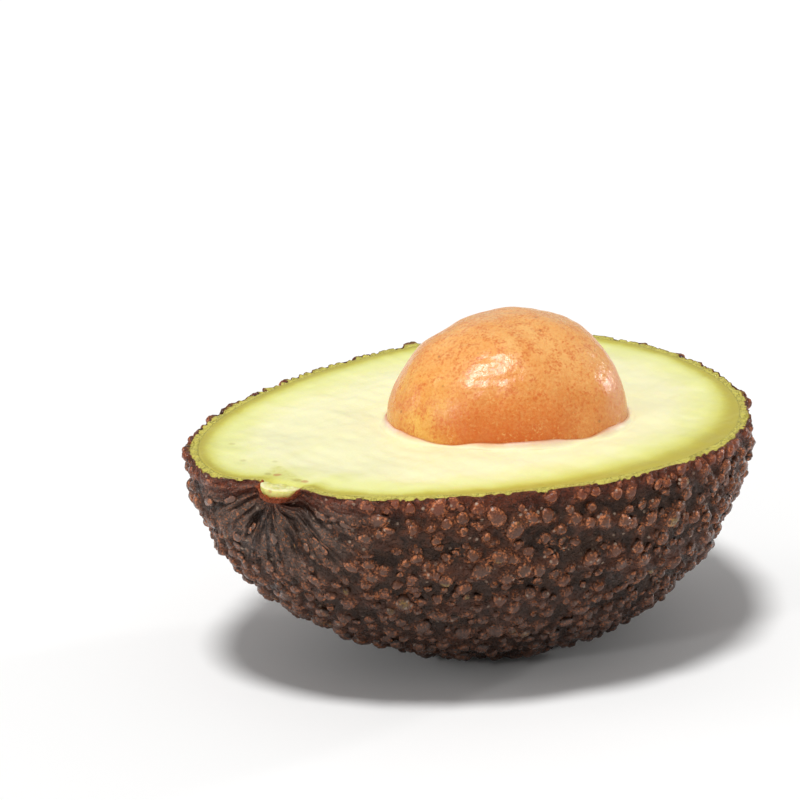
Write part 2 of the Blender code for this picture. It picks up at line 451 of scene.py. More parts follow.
def build_relief_group():
    """A fine bump of a noise at Scale, Depth deep, on top of Normal. Height is the noise itself."""
    tree, given, out = new_group(
        "Fine Relief",
        (
            ("Vector", "NodeSocketVector", None),
            ("Scale", "NodeSocketFloat", 1500.0),
            ("Depth", "NodeSocketFloat", 0.0001),
            ("Strength", "NodeSocketFloat", 1.0),
            ("Normal", "NodeSocketVector", None),
        ),
        (("Normal", "NodeSocketVector"), ("Height", "NodeSocketFloat")),
    )
    height = noise(tree, given["Vector"], given["Scale"], 4.0, 0.6)
    tree.links.new(height, out["Height"])
    values = {
        "Strength": given["Strength"],
        "Distance": given["Depth"],
        "Height": height,
        "Normal": given["Normal"],
    }
    tree.links.new(put(tree, "ShaderNodeBump", values).outputs[0], out["Normal"])


def build_wrinkle_group():
    """Fine lines: one where a distorted noise crosses its middle, falling off within Width of it."""
    tree, given, out = new_group(
        "Wrinkles",
        (
            ("Vector", "NodeSocketVector", None),
            ("Scale", "NodeSocketFloat", 500.0),
            ("Width", "NodeSocketFloat", 0.05),
        ),
        (("Mask", "NodeSocketFloat"),),
    )
    field = noise(tree, given["Vector"], given["Scale"], 2.0, 0.5, 1.2)
    away = arithmetic(tree, "ABSOLUTE", minus(tree, field, 0.5))
    tree.links.new(window(tree, away, 0.0, given["Width"], 1.0, 0.0), out["Mask"])


def build_spot_group():
    """One spot round Centre, fading out from 0.4 of Radius to Radius, and made uneven by a noise."""
    tree, given, out = new_group(
        "Spot",
        (
            ("Vector", "NodeSocketVector", None),
            ("Centre", "NodeSocketVector", None),
            ("Radius", "NodeSocketFloat", 0.0005),
        ),
        (("Mask", "NodeSocketFloat"),),
    )
    ends = {0: given["Vector"], 1: given["Centre"]}
    away = put(tree, "ShaderNodeVectorMath", ends, operation="DISTANCE").outputs["Value"]
    uneven = plus(tree, 0.55, times(tree, noise(tree, given["Vector"], 1800.0), 0.9))
    inner = times(tree, given["Radius"], 0.4)
    tree.links.new(window(tree, times(tree, away, uneven), inner, given["Radius"], 1.0, 0.0), out["Mask"])


def build_groups():
    build_spot_group()
    build_mottle_group()
    build_speckle_group()
    build_relief_group()
    build_wrinkle_group()


def mottle(tree, place, scale, contrast):
    return use_group(tree, "Mottle", {"Vector": place, "Scale": scale, "Contrast": contrast})["Mask"]


def speckle(tree, place, scale, share, size):
    values = {"Vector": place, "Scale": scale, "Share": share, "Size": size}
    return use_group(tree, "Speckle", values)["Mask"]


def fine_lines(tree, place, scale, width):
    return use_group(tree, "Wrinkles", {"Vector": place, "Scale": scale, "Width": width})["Mask"]


def fine_relief(tree, place, scale, depth, strength, normal=None):
    values = {"Vector": place, "Scale": scale, "Depth": depth, "Strength": strength}
    if normal is not None:
        values["Normal"] = normal
    return use_group(tree, "Fine Relief", values)


def new_material(name, **sockets):
    """A material with one Principled shader whose plain sockets are set here by name."""
    material = bpy.data.materials.new(name)
    material.use_nodes = True
    tree = material.node_tree
    shader = tree.nodes["Principled BSDF"]
    for key, value in sockets.items():
        shader.inputs[key.replace("_", " ")].default_value = value
    return material, tree, shader


def feed(tree, shader, colour, roughness, normal):
    tree.links.new(colour, shader.inputs["Base Color"])
    tree.links.new(roughness, shader.inputs["Roughness"])
    tree.links.new(normal, shader.inputs["Normal"])


# Materials of the skin


def wax_flecks_and_painted_glints(tree, place):
    """Small pale flecks of wax and painted glints, closer together in some patches than in others."""
    flecks = speckle(tree, place, 1300.0, 0.13, 0.42)
    return times(tree, flecks, window(tree, mottle(tree, place, 260.0, 3.5), 0.35, 0.75, 0.15, 0.9))


def below_cut(tree, place):
    """How much redder the skin gets just below the cut."""
    return window(tree, part_of(tree, place, "Z"), CUT_HEIGHT - 4 * MM, CUT_HEIGHT, 0.0, 0.5)


def underside(tree, place):
    """Painted shade: how much darker the skin is painted toward its underside, near the floor."""
    return window(tree, part_of(tree, place, "Z"), 2 * MM, 28 * MM, 0.78, 0.0)


def rind_colour(tree, settings, place, fine, lines, rays):
    """Mottled brown with pale creases and painted glints, orange at the pebbles' feet, grey rays at the stem,
    red at the cut, wax flecks and painted glints, and painted shade in the low ground, the rays' grooves and
    toward the underside.
    """
    stem = mask_of(tree, "stem_near")
    clouds = mottle(tree, place, 420.0, 2.8)
    ground = blend(tree, clouds, settings.valley_and_shade_colour, settings.wax_colour)
    # Pale creases: partly the rind's colour, partly painted glints along the wrinkles.
    ground = blend(tree, times(tree, lines, 0.35), ground, settings.crease_and_glint_colour)
    body = blend(tree, clouds, settings.pebble_colour, settings.pebble_red)
    uneven = plus(tree, mask_of(tree, "lift_mm"), times(tree, fine, 0.25))
    # Low ground between the mounds takes the dark valley colour: partly the rind's colour, partly painted shade
    # in the crevices.
    colour = blend(tree, window(tree, uneven, 0.08, 0.60), ground, body)
    foot = times(tree, window(tree, mask_of(tree, "mound"), 0.30, 0.75), window(tree, fine, 0.5, 0.95))
    colour = blend(tree, times(tree, foot, 0.8), colour, settings.ring_colour)
    # Near the stem the grooves between the rays take the dark valley colour as painted shade, and the ridges
    # are grey.
    stem_grey_and_groove_shade = blend(tree, window(tree, rays, 0.42, 0.58), settings.valley_and_shade_colour, settings.stem_grey)
    colour = blend(tree, times(tree, stem, 0.85), colour, stem_grey_and_groove_shade)
    dashes = times(tree, window(tree, fine, 0.62, 0.9), window(tree, rays, 0.48, 0.62))
    colour = blend(tree, times(tree, times(tree, dashes, stem), 0.8), colour, settings.ring_colour)
    redder = times(tree, below_cut(tree, place), window(tree, fine, 0.1, 0.7, 0.3, 1.0))
    colour = blend(tree, redder, colour, settings.cut_red)
    # Pale wax flecks, partly painted glints.
    colour = blend(tree, wax_flecks_and_painted_glints(tree, place), colour, settings.wax_and_glint_flecks)
    # Painted shade toward the underside.
    return blend(tree, underside(tree, place), colour, settings.valley_and_shade_colour)


def cut_edge_colour(tree, settings, fine):
    """The cut through the rind: red-brown at the outside, olive inside it, and yellow next to the flesh."""
    inward = mask_of(tree, "inward_mm")
    red_rim = blend(tree, fine, settings.cut_red, settings.cut_brown)
    olive = blend(tree, fine, settings.cut_olive, settings.cut_yellow)
    cut = blend(tree, window(tree, inward, 0.7, 1.5), olive, settings.cut_yellow)
    cut = blend(tree, window(tree, mask_of(tree, "rind"), -0.15, 0.15, 0.0, 0.85), cut, red_rim)
    return blend(tree, window(tree, inward, 0.08, 0.22, 0.9, 0.0), cut, red_rim)


def skin_material(settings):
    """The rind between the pebbles, with its cut edge and the red arc in front of the stalk's end."""
    material, tree, shader = new_material("Rind", Specular_IOR_Level=0.22)
    place = object_coordinates(tree)
    fine = mottle(tree, place, 2600.0, 3.4)
    lines = fine_lines(tree, stretched_place(tree, place, (0.5, 0.7, 1.0)), 1100.0, 0.04)
    round_stem = put(tree, "ShaderNodeAttribute", attribute_name="stem_rays").outputs["Vector"]
    rays = noise(tree, round_stem, 1500.0, 3.0, 0.6)

    colour = rind_colour(tree, settings, place, fine, lines, rays)
    collar = window(tree, mask_of(tree, "collar"), 0.3, 0.7)
    arc = blend(tree, fine, settings.collar_red, settings.cut_red)
    cut = blend(tree, collar, cut_edge_colour(tree, settings, fine), arc)
    colour = blend(tree, times(tree, collar, 0.9), colour, arc)
    colour = blend(tree, mask_of(tree, "on_cut"), colour, cut)

    near = window(tree, mask_of(tree, "stem_near"), 0.05, 0.7)
    ridges = put(tree, "ShaderNodeBump", {"Strength": near, "Distance": 0.9 * MM, "Height": rays}).outputs[0]
    values = {"Distance": 0.16 * MM, "Height": lines, "Normal": ridges}
    creases = put(tree, "ShaderNodeBump", values).outputs[0]
    coarse = fine_relief(tree, place, 1500.0, 0.30 * MM, 0.9, creases)
    grain = fine_relief(tree, place, 5200.0, 0.08 * MM, 0.9, coarse["Normal"])
    feed(tree, shader, colour, window(tree, coarse["Height"], 0.38, 0.62, 0.16, 0.52), grain["Normal"])
    return material


def pebble_colours(tree, settings, place):
    """Browns with paler grain, orange-red edges, olive flecks, wax flecks with painted glints, painted shade at
    the foot and toward the underside, and red where sliced.
    """
    rise = mask_of(tree, "rise")
    clouds = mottle(tree, place, 700.0, 3.0)
    fine = mottle(tree, place, 3200.0, 3.6)
    body = blend(tree, mask_of(tree, "tone"), settings.pebble_colour, settings.pebble_red)
    body = blend(tree, times(tree, fine, 0.32), body, settings.pebble_tip)
    body = blend(tree, times(tree, mask_of(tree, "stem_near"), 0.75), body, settings.stem_grey)
    body = blend(tree, below_cut(tree, place), body, settings.cut_red)
    edge = times(tree, window(tree, rise, 0.25, 0.55), window(tree, rise, 0.72, 0.97, 1.0, 0.0))
    grains = window(tree, plus(tree, fine, times(tree, clouds, 0.6)), 0.70, 1.25)
    colour = blend(tree, times(tree, edge, times(tree, grains, 0.85)), body, settings.ring_colour)
    flecks = times(tree, speckle(tree, place, 420.0, 0.08, 0.55), window(tree, rise, 0.3, 0.8, 0.0, 0.6))
    colour = blend(tree, times(tree, flecks, window(tree, fine, 0.2, 0.7)), colour, settings.fleck_colour)
    # Painted shade: each pebble's foot is darkened toward the valley colour, as the crevice there would be
    # shaded.
    foot = times(tree, window(tree, rise, 0.22, 0.55, 0.9, 0.0), window(tree, clouds, 0.3, 0.7, 0.4, 1.0))
    colour = blend(tree, foot, colour, settings.valley_and_shade_colour)
    # Pale wax flecks, partly painted glints.
    colour = blend(tree, wax_flecks_and_painted_glints(tree, place), colour, settings.wax_and_glint_flecks)
    # Painted shade toward the underside.
    colour = blend(tree, underside(tree, place), colour, settings.valley_and_shade_colour)
    highest = CUT_HEIGHT - SLICE_DEPTH
    sliced = window(tree, part_of(tree, place, "Z"), highest - 0.04 * MM, highest - 0.01 * MM)
    return blend(tree, sliced, colour, blend(tree, fine, settings.cut_red, settings.cut_brown))


def pebble_material(settings):
    """The pebbles, waxy and finely uneven."""
    material, tree, shader = new_material(
        "Pebbles", Specular_IOR_Level=0.30, Coat_Weight=0.15, Coat_Roughness=0.10,
    )
    place = object_coordinates(tree)
    colour = pebble_colours(tree, settings, place)
    coarse = fine_relief(tree, place, 1400.0, 0.28 * MM, 0.8)
    grain = fine_relief(tree, place, 5200.0, 0.07 * MM, 0.8, coarse["Normal"])
    feed(tree, shader, colour, window(tree, coarse["Height"], 0.40, 0.60, 0.13, 0.42), grain["Normal"])
    return material


# Materials of the flesh, the pit and the stalk


def flesh_bands(tree, settings, place, clouds, fine):
    """Cream in the middle, yellow-green toward the rind and olive at its edge, with wider bands toward -Y."""
    edge = mask_of(tree, "edge_mm")
    aside = part_of(tree, place, "Y")
    streaks = mottle(tree, stretched_place(tree, place, (0.12, 1.0, 1.0)), 520.0, 2.2)
    wander = plus(tree, times(tree, minus(tree, clouds, 0.5), 5.0), times(tree, streaks, 1.5))
    depth = times(tree, plus(tree, edge, wander), window(tree, aside, -34 * MM, -10 * MM, 0.62, 1.0))
    colour = blend(tree, window(tree, depth, 3.0, 12.0), settings.green_flesh, settings.cream_flesh)
    near_edge = plus(tree, edge, times(tree, fine, 0.5))
    near_edge = times(tree, near_edge, window(tree, aside, -34 * MM, -10 * MM, 0.40, 1.0))
    colour = blend(tree, window(tree, near_edge, 0.5, 4.2), settings.edge_flesh, colour)
    colour = blend(tree, window(tree, near_edge, 0.6, 2.2, 0.85, 0.0), colour, settings.vein_flesh)
    shade = times(tree, minus(tree, streaks, 0.5, clamp=True), 0.35)
    return blend(tree, shade, colour, settings.fibre_flesh)


def flesh_marks(tree, settings, place, fine, colour, shift):
    """The strand from the stalk, small specks, and the brown and reddish spots that SPOTS places."""
    strand = times(tree, mask_of(tree, "strand"), window(tree, fine, 0.2, 0.9, 0.25, 0.7))
    colour = blend(tree, strand, colour, settings.strand_flesh)
    specks = speckle(tree, place, 130.0, 0.05, 0.10)
    colour = blend(tree, times(tree, specks, 0.55), colour, settings.speck_flesh)
    for x, y, radius, share, reddish in SPOTS:
        centre = (x + shift[0], y + shift[1], CUT_HEIGHT)
        spot = use_group(tree, "Spot", {"Vector": place, "Centre": centre, "Radius": radius})["Mask"]
        stain = settings.rust_flesh if reddish else settings.speck_flesh
        colour = blend(tree, times(tree, spot, share), colour, stain)
    return colour


def flesh_material(settings, shift):
    """Cut flesh, moist and soft, with the pale lip of seed coat round the pit and its thin brown lines."""
    material, tree, shader = new_material(
        "Cut flesh", Subsurface_Weight=0.25, Subsurface_Scale=0.0015, Subsurface_Radius=(1.0, 0.85, 0.35),
    )
    place = object_coordinates(tree)
    clouds = mottle(tree, place, 110.0, 1.8)
    fine = mottle(tree, place, 1500.0, 1.6)
    colour = flesh_bands(tree, settings, place, clouds, fine)
    colour = flesh_marks(tree, settings, place, fine, colour, shift)
    coat = blend(tree, clouds, settings.coat_colour, settings.coat_brown)
    colour = blend(tree, mask_of(tree, "coat"), colour, coat)
    seam = times(tree, mask_of(tree, "seam"), window(tree, clouds, 0.2, 0.7, 0.35, 0.9))
    colour = blend(tree, seam, colour, settings.seam_colour)
    soft = fine_relief(tree, place, 420.0, 0.12 * MM, 0.6)
    grain = fine_relief(tree, place, 2300.0, 0.05 * MM, 0.6, soft["Normal"])
    feed(tree, shader, colour, window(tree, clouds, 0.0, 1.0, 0.36, 0.52), grain["Normal"])
    return material


def seed_coat_colour(tree, settings, place, middle):
    """Orange mottles on mottles, redder at the base (partly painted shade), yellower patches, a paler side
    (painted light), veins, specks, and a pale layer of seed coat on top that is partly painted rim sheen.
    """
    broad = mottle(tree, place, 95.0, 2.6)
    fine = mottle(tree, place, 2600.0, 3.0)
    colour = blend(tree, broad, settings.pit_orange, settings.pit_light)
    uneven = plus(tree, mask_of(tree, "height_mm"), times(tree, middle, 5.0))
    # Redder toward the base: partly the seed coat's own colour, partly painted shade low on the pit.
    colour = blend(tree, window(tree, uneven, 1.5, 15.0, 0.95, 0.0), colour, settings.pit_red)
    amber = times(tree, mask_of(tree, "amber"), window(tree, broad, 0.2, 0.8, 0.4, 0.9))
    colour = blend(tree, amber, colour, settings.pit_amber)
    # Painted light: one side of the pit is made paler.
    colour = blend(tree, times(tree, mask_of(tree, "pale"), 0.40), colour, settings.pit_light)
    grain = plus(tree, times(tree, fine, 0.6), times(tree, middle, 0.5))
    colour = blend(tree, window(tree, grain, 0.45, 0.95, 0.0, 0.80), colour, settings.pit_red)
    colour = blend(tree, window(tree, grain, 0.10, 0.45, 0.60, 0.0), colour, settings.pit_light)
    veins = fine_lines(tree, place, 260.0, 0.012)
    colour = blend(tree, times(tree, veins, 0.25), colour, settings.pit_red)
    specks = speckle(tree, place, 900.0, 0.03, 0.3)
    colour = blend(tree, times(tree, specks, 0.45), colour, settings.pit_speck)
    # Pale seed coat on top, partly painted rim sheen along the pit's upper edges.
    seed_film_and_rim_sheen = window(tree, plus(tree, mask_of(tree, "seed_film_and_rim_sheen"), times(tree, middle, 0.5)), 0.25, 1.5)
    seed_film_and_rim_sheen = times(tree, seed_film_and_rim_sheen, window(tree, grain, 0.3, 0.9, 0.75, 0.35))
    return blend(tree, seed_film_and_rim_sheen, colour, settings.film_and_rim_sheen_colour)


def pit_material(settings):
    """Wet seed coat, finely wavy, with a faint sheen."""
    material, tree, shader = new_material(
        "Wet seed coat", Specular_IOR_Level=0.42, Sheen_Weight=0.05, Sheen_Roughness=0.4,
        Sheen_Tint=(1.0, 0.86, 0.70, 1.0), Subsurface_Weight=0.06, Subsurface_Scale=0.001,
        Subsurface_Radius=(1.0, 0.4, 0.15),
    )
    place = object_coordinates(tree)
    middle = mottle(tree, place, 520.0, 2.6)
    colour = seed_coat_colour(tree, settings, place, middle)
    wavy = fine_relief(tree, place, 420.0, 0.16 * MM, 0.6)
    grain = fine_relief(tree, place, 1700.0, 0.09 * MM, 0.7, wavy["Normal"])
    feed(tree, shader, colour, window(tree, middle, 0.0, 1.0, 0.20, 0.36), grain["Normal"])
    return material


def stalk_material(settings):
    """The stalk's cut end: pale green-yellow wood with darker fibres and rusty specks."""
    material, tree, shader = new_material("Cut stalk", Subsurface_Weight=0.15, Subsurface_Scale=0.001)
    place = object_coordinates(tree)
    clouds = mottle(tree, place, 700.0, 3.6)
    colour = blend(tree, clouds, settings.stalk_colour, settings.stalk_pale)
    out_share = mask_of(tree, "out_share")
    side = blend(tree, clouds, settings.stalk_side, settings.stalk_colour)
    colour = blend(tree, window(tree, out_share, 1.0, 1.25), colour, side)
    specks = speckle(tree, place, 900.0, 0.10, 0.5)
    colour = blend(tree, times(tree, specks, 0.6), colour, settings.stalk_rust)
    edge = times(tree, window(tree, out_share, 0.72, 0.92), window(tree, out_share, 1.0, 1.2, 1.0, 0.0))
    edge = times(tree, edge, times(tree, mask_of(tree, "front"), 0.5))
    colour = blend(tree, edge, colour, settings.stalk_edge)
    relief = fine_relief(tree, place, 1500.0, 0.15 * MM, 0.8)
    feed(tree, shader, colour, window(tree, clouds, 0.0, 1.0, 0.42, 0.62), relief["Normal"])
    return material


def floor_material(settings):
    """Pale matt board with a very faint unevenness."""
    material, tree, shader = new_material("Pale board", Specular_IOR_Level=0.2)
    place = object_coordinates(tree)
    clouds = mottle(tree, place, 6.0, 0.6)
    darker = tuple(0.985 * part for part in settings.floor_colour)
    colour = blend(tree, clouds, settings.floor_colour, darker)
    relief = fine_relief(tree, place, 900.0, 0.02 * MM, 0.2)
    feed(tree, shader, colour, window(tree, clouds, 0.0, 1.0, 0.62, 0.70), relief["Normal"])
    return material


# Skin


def bowl_directions(cells, ease):
    """Directions over the lower half of the unit ball, on a square grid of cells by cells.

    The square is mapped to a disc by rings, and the disc's radius r to the angle from straight down by
    sin(ease r) / sin(ease), which packs the points closer toward the cut.
    """
    line = np.linspace(-1, 1, cells + 1)
    across, along = (part.ravel() for part in np.meshgrid(line, line, indexing="ij"))
    wide = np.abs(across) >= np.abs(along)
    signed = np.where(wide, across, along)
    divisor = np.where(signed == 0, 1.0, signed)
    lean = math.pi / 4 * np.where(wide, along, across) / divisor
    turn = np.where(wide, lean, math.pi / 2 - lean)
    tilt = math.pi / 2 * np.sin(ease * np.abs(signed)) / math.sin(ease)
    flat = np.sign(signed) * np.sin(tilt)
    return np.column_stack((flat * np.cos(turn), flat * np.sin(turn), -np.cos(tilt)))


def square_edge(cells):
    """The numbers of the square grid's outer points, in order round it."""
    side = np.arange(cells)
    row = cells + 1
    return np.concatenate((
        side * row,
        cells * row + side,
        (cells - side) * row + cells,
        cells - side,
    ))


def square_quads(cells):
    """The square grid's faces, facing down and out of the bowl."""
    across, along = np.meshgrid(np.arange(cells), np.arange(cells), indexing="ij")
    here = across * (cells + 1) + along
    return np.stack((here, here + 1, here + cells + 2, here + cells + 1), axis=-1).reshape(-1, 4)


def near_stem(fruit, unit):
    """One at the stem's foot, and nothing well past NEAR_STEM from it."""
    return bell(fruit.from_stem(unit), NEAR_STEM, 4.0)


class Pebbles:
    """Places of the pebbles of some kinds, thrown as darts at the ball below the cut and clear of the stem.

    A dart that comes too close to another is left out. Most keep about their own radii apart, and some may
    lap and merge. Near the stem the pebbles are smaller, longer along the line from the stem, and lower.
    """

    def __init__(self, fruit, settings, kinds, seed, merging_share):
        self.rng = np.random.default_rng(seed)
        self.throw(fruit, settings.pebble_size, kinds, merging_share)
        self.shape(fruit, settings.pebble_height)

    def throw(self, fruit, factor, kinds, merging_share):
        """Sets the places, the directions and the radii."""
        rng = self.rng
        most = sum(darts for _, _, darts in kinds)
        places, units, radii = np.zeros((most, 3)), np.zeros((most, 3)), np.zeros(most)
        count = 0
        for radius, spread, darts in kinds:
            thrown = unit_rows(rng.normal(size=(darts, 3)))
            thrown = thrown[(thrown[:, 2] < PEBBLE_LEVEL) & (fruit.from_stem(thrown) > STEM_CLEARANCE)]
            landed = fruit.points(thrown, 0.0, collar=False)
            sizes = factor * radius * (1 + spread * rng.uniform(-1, 1, len(thrown)))
            sizes = sizes * (1 - 0.35 * near_stem(fruit, thrown))
            merging = rng.random(len(thrown)) < merging_share
            room = np.where(merging, rng.uniform(0.70, 0.95, len(thrown)), rng.uniform(1.0, 1.3, len(thrown)))
            for unit, place, size, share in zip(thrown, landed, sizes, room):
                gaps = np.linalg.norm(places[:count] - place, axis=1)
                if np.all(gaps > share * (radii[:count] + size)):
                    places[count], units[count], radii[count] = place, unit, size
                    count += 1
        self.places, self.units, self.radii = places[:count], units[:count], radii[:count]

    def shape(self, fruit, middling_height):
        """Sets how near the stem each is, its long side, its height and its tone."""
        rng = self.rng
        count = len(self.radii)
        self.near = near_stem(fruit, self.units)
        near = self.near[:, None]
        from_stem = unit_rows(self.places - fruit.stem_foot)
        anywhere = unit_rows(rng.normal(size=(count, 3)))
        self.long_side = unit_rows(near * from_stem + 0.35 * (1 - near) * anywhere)
        self.stretch = 1 + 0.9 * self.near + 0.35 * rng.random(count)
        height = middling_height * (self.radii / (1.0 * MM)) ** 0.8 * rng.uniform(0.55, 1.25, count)
        height = np.minimum(height, MOST_HEIGHT - furrows(self.places))
        self.heights = height * (1 - 0.75 * self.near)
        self.tones = rng.random(count)

    def relief(self, points, patches, reach):
        """Height of a mound round each pebble over each point, and the share of a full mound there.

        A mound is its pebble's height times (1 - t^2)^1.3, t the distance in reach times its own radii, drawn
        out along its long side. Mounds that lap are joined by the fourth root of the sum of their fourth
        powers. Only the pebbles near a patch of points are measured against it.
        """
        relief, share = np.zeros(len(points)), np.zeros(len(points))
        for patch in patches:
            here = points[patch]
            middle = here.mean(axis=0)
            far = np.linalg.norm(here - middle, axis=1).max() + MOUND_REACH
            close = np.flatnonzero(np.linalg.norm(self.places - middle, axis=1) < far)
            if len(close) == 0:
                continue
            arms = here[:, None, :] - self.places[close][None, :, :]
            along = np.einsum("ijk,jk->ij", arms, self.long_side[close])
            total = np.einsum("ijk,ijk->ij", arms, arms)
            squeezed = total - along**2 * (1 - 1 / self.stretch[close] ** 2)
            t = np.sqrt(np.maximum(squeezed, 0)) / (reach * self.radii[close] / self.stretch[close] ** 0.3)
            dome = np.clip(1 - t**2, 0, None) ** 1.3
            relief[patch] = ((dome * self.heights[close]) ** 4).sum(axis=1) ** 0.25
            share[patch] = np.minimum((dome**4).sum(axis=1) ** 0.25, 1)
        return relief, share


def patches_of(unit, size):
    """Splits the points into patches by the box of the unit ball that each is in."""
    boxes = np.floor((unit + 1) / size).astype(int) @ np.array((1, 1000, 1000000))
    order = np.argsort(boxes, kind="stable")
    ends = np.flatnonzero(np.diff(boxes[order])) + 1
    return np.split(order, ends)


def stem_rays(fruit, points):
    """Coordinates in which a smooth noise turns into rays from the stem.

    They are the direction round the stem times RAY_RADIUS, and RAY_SHARE of the distance from it.
    """
    arms = points - fruit.stem_foot
    along = arms @ fruit.stem_outward
    flat = arms - along[:, None] * fruit.stem_outward
    distance = np.linalg.norm(flat, axis=1)
    heading = flat / np.maximum(distance, 1e-6)[:, None]
    sideways = np.cross(fruit.stem_outward, (0.0, 0.0, 1.0))
    circle = np.column_stack((heading @ sideways, heading[:, 2])) * RAY_RADIUS
    return np.column_stack((circle, distance * RAY_SHARE))


def furrows(smooth):
    """Slow swells of the rind between its pebbles, drawn out along the fruit, with finer ones on them."""
    long_waves = ripples(smooth * (0.25, 0.6, 1.0), 4.6 * MM, 41)
    return 0.20 * MM * long_waves + 0.06 * MM * ripples(smooth, 1.2 * MM, 42)


def skin_height(fruit, settings, pebbles, unit):
    """Height of the outside over the valleys, with the mounds' share, the nearness to the stem and the rays.

    It has furrows, beads, mounds under the pebbles and ridges along the rays at the stem.
    """
    smooth = fruit.points(unit, 0.0, collar=False)
    warp = np.column_stack([ripples(smooth, 2.4 * MM, seed) for seed in (21, 22, 23)])
    bent = smooth + 0.22 * MM * warp
    patches = patches_of(unit, 0.14)
    mounds, share = pebbles.relief(bent, patches, 1.85)
    beads = Pebbles(fruit, settings, BEAD_KIND, PEBBLE_SEED + 1, BEAD_MERGING)
    bead_height, _ = beads.relief(bent, patches, 1.3)
    distance = fruit.from_stem(unit)
    rays = stem_rays(fruit, smooth)
    ridges = 1 - np.abs(ripples(rays, 1.9 * MM, 31))
    near = bell(distance, 12 * MM, 3.0)
    height = 0.72 * mounds + 0.8 * bead_height * (1 - near) + furrows(smooth) * (1 - 0.6 * near)
    height = height + 0.45 * MM * near * ridges
    height = height * smooth_step(1.0 * MM, 3.2 * MM, distance)
    return height, share, near_stem(fruit, unit), rays


def uneven_outlines(rng, count, turns):
    """Each pebble's radius at each turn, as a share: one plus a few cosines of small random size."""
    phases = rng.uniform(0, 2 * math.pi, (count, 3))
    sizes = rng.uniform(0.0, 1.0, (count, 3)) * (0.10, 0.15, 0.10)
    outline = np.ones((count, len(turns)))
    for order in (2, 3, 4):
        wave = np.cos(order * turns[None, :] + phases[:, order - 2, None])
        outline += sizes[:, order - 2, None] * wave
    return outline


def pebble_axes(fruit, pebbles):
    """Each pebble's way up, a little off the rind's normal, its way along its long side, and aside."""
    lean = 0.12 * pebbles.rng.normal(size=(len(pebbles.radii), 3))
    normal = unit_rows(fruit.outward(pebbles.units) + lean)
    onward = pebbles.long_side - np.einsum("ij,ij->i", pebbles.long_side, normal)[:, None] * normal
    onward = unit_rows(onward)
    return normal, onward, np.cross(normal, onward)


def pebble_points(fruit, pebbles):
    """Each pebble's points: rings up its side by PEBBLE_PROFILE, then the pole of its foot and its top.

    Slow ripples make the pebbles uneven, and the cut slices them off.
    """
    count = len(pebbles.radii)
    turns = np.linspace(0, 2 * math.pi, PEBBLE_COLUMNS, endpoint=False)
    outline = uneven_outlines(pebbles.rng, count, turns)
    normal, onward, aside = pebble_axes(fruit, pebbles)
    narrow = pebbles.radii / pebbles.stretch**0.3
    flat = (
        (narrow * pebbles.stretch)[:, None, None] * (outline * np.cos(turns))[:, :, None] * onward[:, None, :]
        + narrow[:, None, None] * (outline * np.sin(turns))[:, :, None] * aside[:, None, :]
    )
    lift = furrows(pebbles.places) + 0.12 * pebbles.heights - 0.3 * MM * pebbles.near
    ground = fruit.points(pebbles.units, VALLEY) + lift[:, None] * normal
    shares, rises = np.array(PEBBLE_PROFILE).T
    side = (
        ground[:, None, None, :]
        + shares[None, :, None, None] * flat[:, None, :, :]
        + (rises[None, :, None] * pebbles.heights[:, None, None] * np.ones(PEBBLE_COLUMNS))[..., None]
        * normal[:, None, None, :]
    )
    foot = ground - 0.5 * pebbles.heights[:, None] * normal
    top = ground + pebbles.heights[:, None] * normal
    points = np.concatenate((side.reshape(count, -1, 3), foot[:, None, :], top[:, None, :]), axis=1)
    uneven = 0.05 * MM * ripples(points.reshape(-1, 3), 0.9 * MM, 45).reshape(count, -1, 1)
    points = points + uneven * normal[:, None, :]
    points[..., 2] = np.minimum(points[..., 2], -SLICE_DEPTH)
    return points.reshape(-1, 3)


def build_pebbles(fruit, pebbles, shift):
    """All the pebbles: each a closed dome that stands on the rind and is cut off where it crosses the cut."""
    points = np.clip(pebble_points(fruit, pebbles) + shift, *np.array(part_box("skin")))
    count = len(pebbles.radii)
    rings = len(PEBBLE_PROFILE)
    quads, triangles = turned_faces(PEBBLE_COLUMNS, rings)
    starts = np.arange(count) * (PEBBLE_COLUMNS * rings + 2)
    quads = (starts[:, None, None] + quads[None]).reshape(-1, 4)
    triangles = (starts[:, None, None] + triangles[None]).reshape(-1, 3)
    rises = [max(rise, 0.0) for _, rise in PEBBLE_PROFILE]
    rise = np.append(np.repeat(rises, PEBBLE_COLUMNS), (0.0, 1.0))
    masks = {
        "rise": np.tile(rise, count),
        "tone": np.repeat(pebbles.tones, len(rise)),
        "stem_near": np.repeat(pebbles.near, len(rise)),
    }
    return points, quads, triangles, masks


def along_and_across(fruit, points):
    """Distances from the foot of the stem, outwards along it and sideways in plan."""
    arms = points - fruit.stem_foot
    sideways = np.cross((0.0, 0.0, 1.0), fruit.stem_outward)
    return arms @ fruit.stem_outward, arms @ sideways


def stalk_share(fruit, stalk, points):
    """Zero in the middle of the stalk's cut end in plan and one at its edge."""
    along, across = along_and_across(fruit, points)
    return np.hypot((along + stalk.stalk_inset) / stalk.stalk_half_length, across / stalk.stalk_half_width)


def dip_under_stalk(fruit, stalk, points):
    """How far the rind's edge is pulled down in front of the stalk's end, in a half circle, and under it."""
    along, across = along_and_across(fruit, points)
    in_front = along > -stalk.stalk_inset
    share = np.where(in_front, np.abs(across) / stalk.stalk_half_width, stalk_share(fruit, stalk, points))
    return stalk.rind_dip * np.sqrt(np.clip(1 - share**2, 0, None))


def under_stalk(fruit, stalk, points):
    """One under the front half of the stalk's end, where the flesh is sunk, and nothing elsewhere."""
    along, _ = along_and_across(fruit, points)
    in_front = smooth_step(-0.5, 0.1, (along + stalk.stalk_inset) / stalk.stalk_half_length)
    return in_front * smooth_step(1.02, 0.85, stalk_share(fruit, stalk, points))


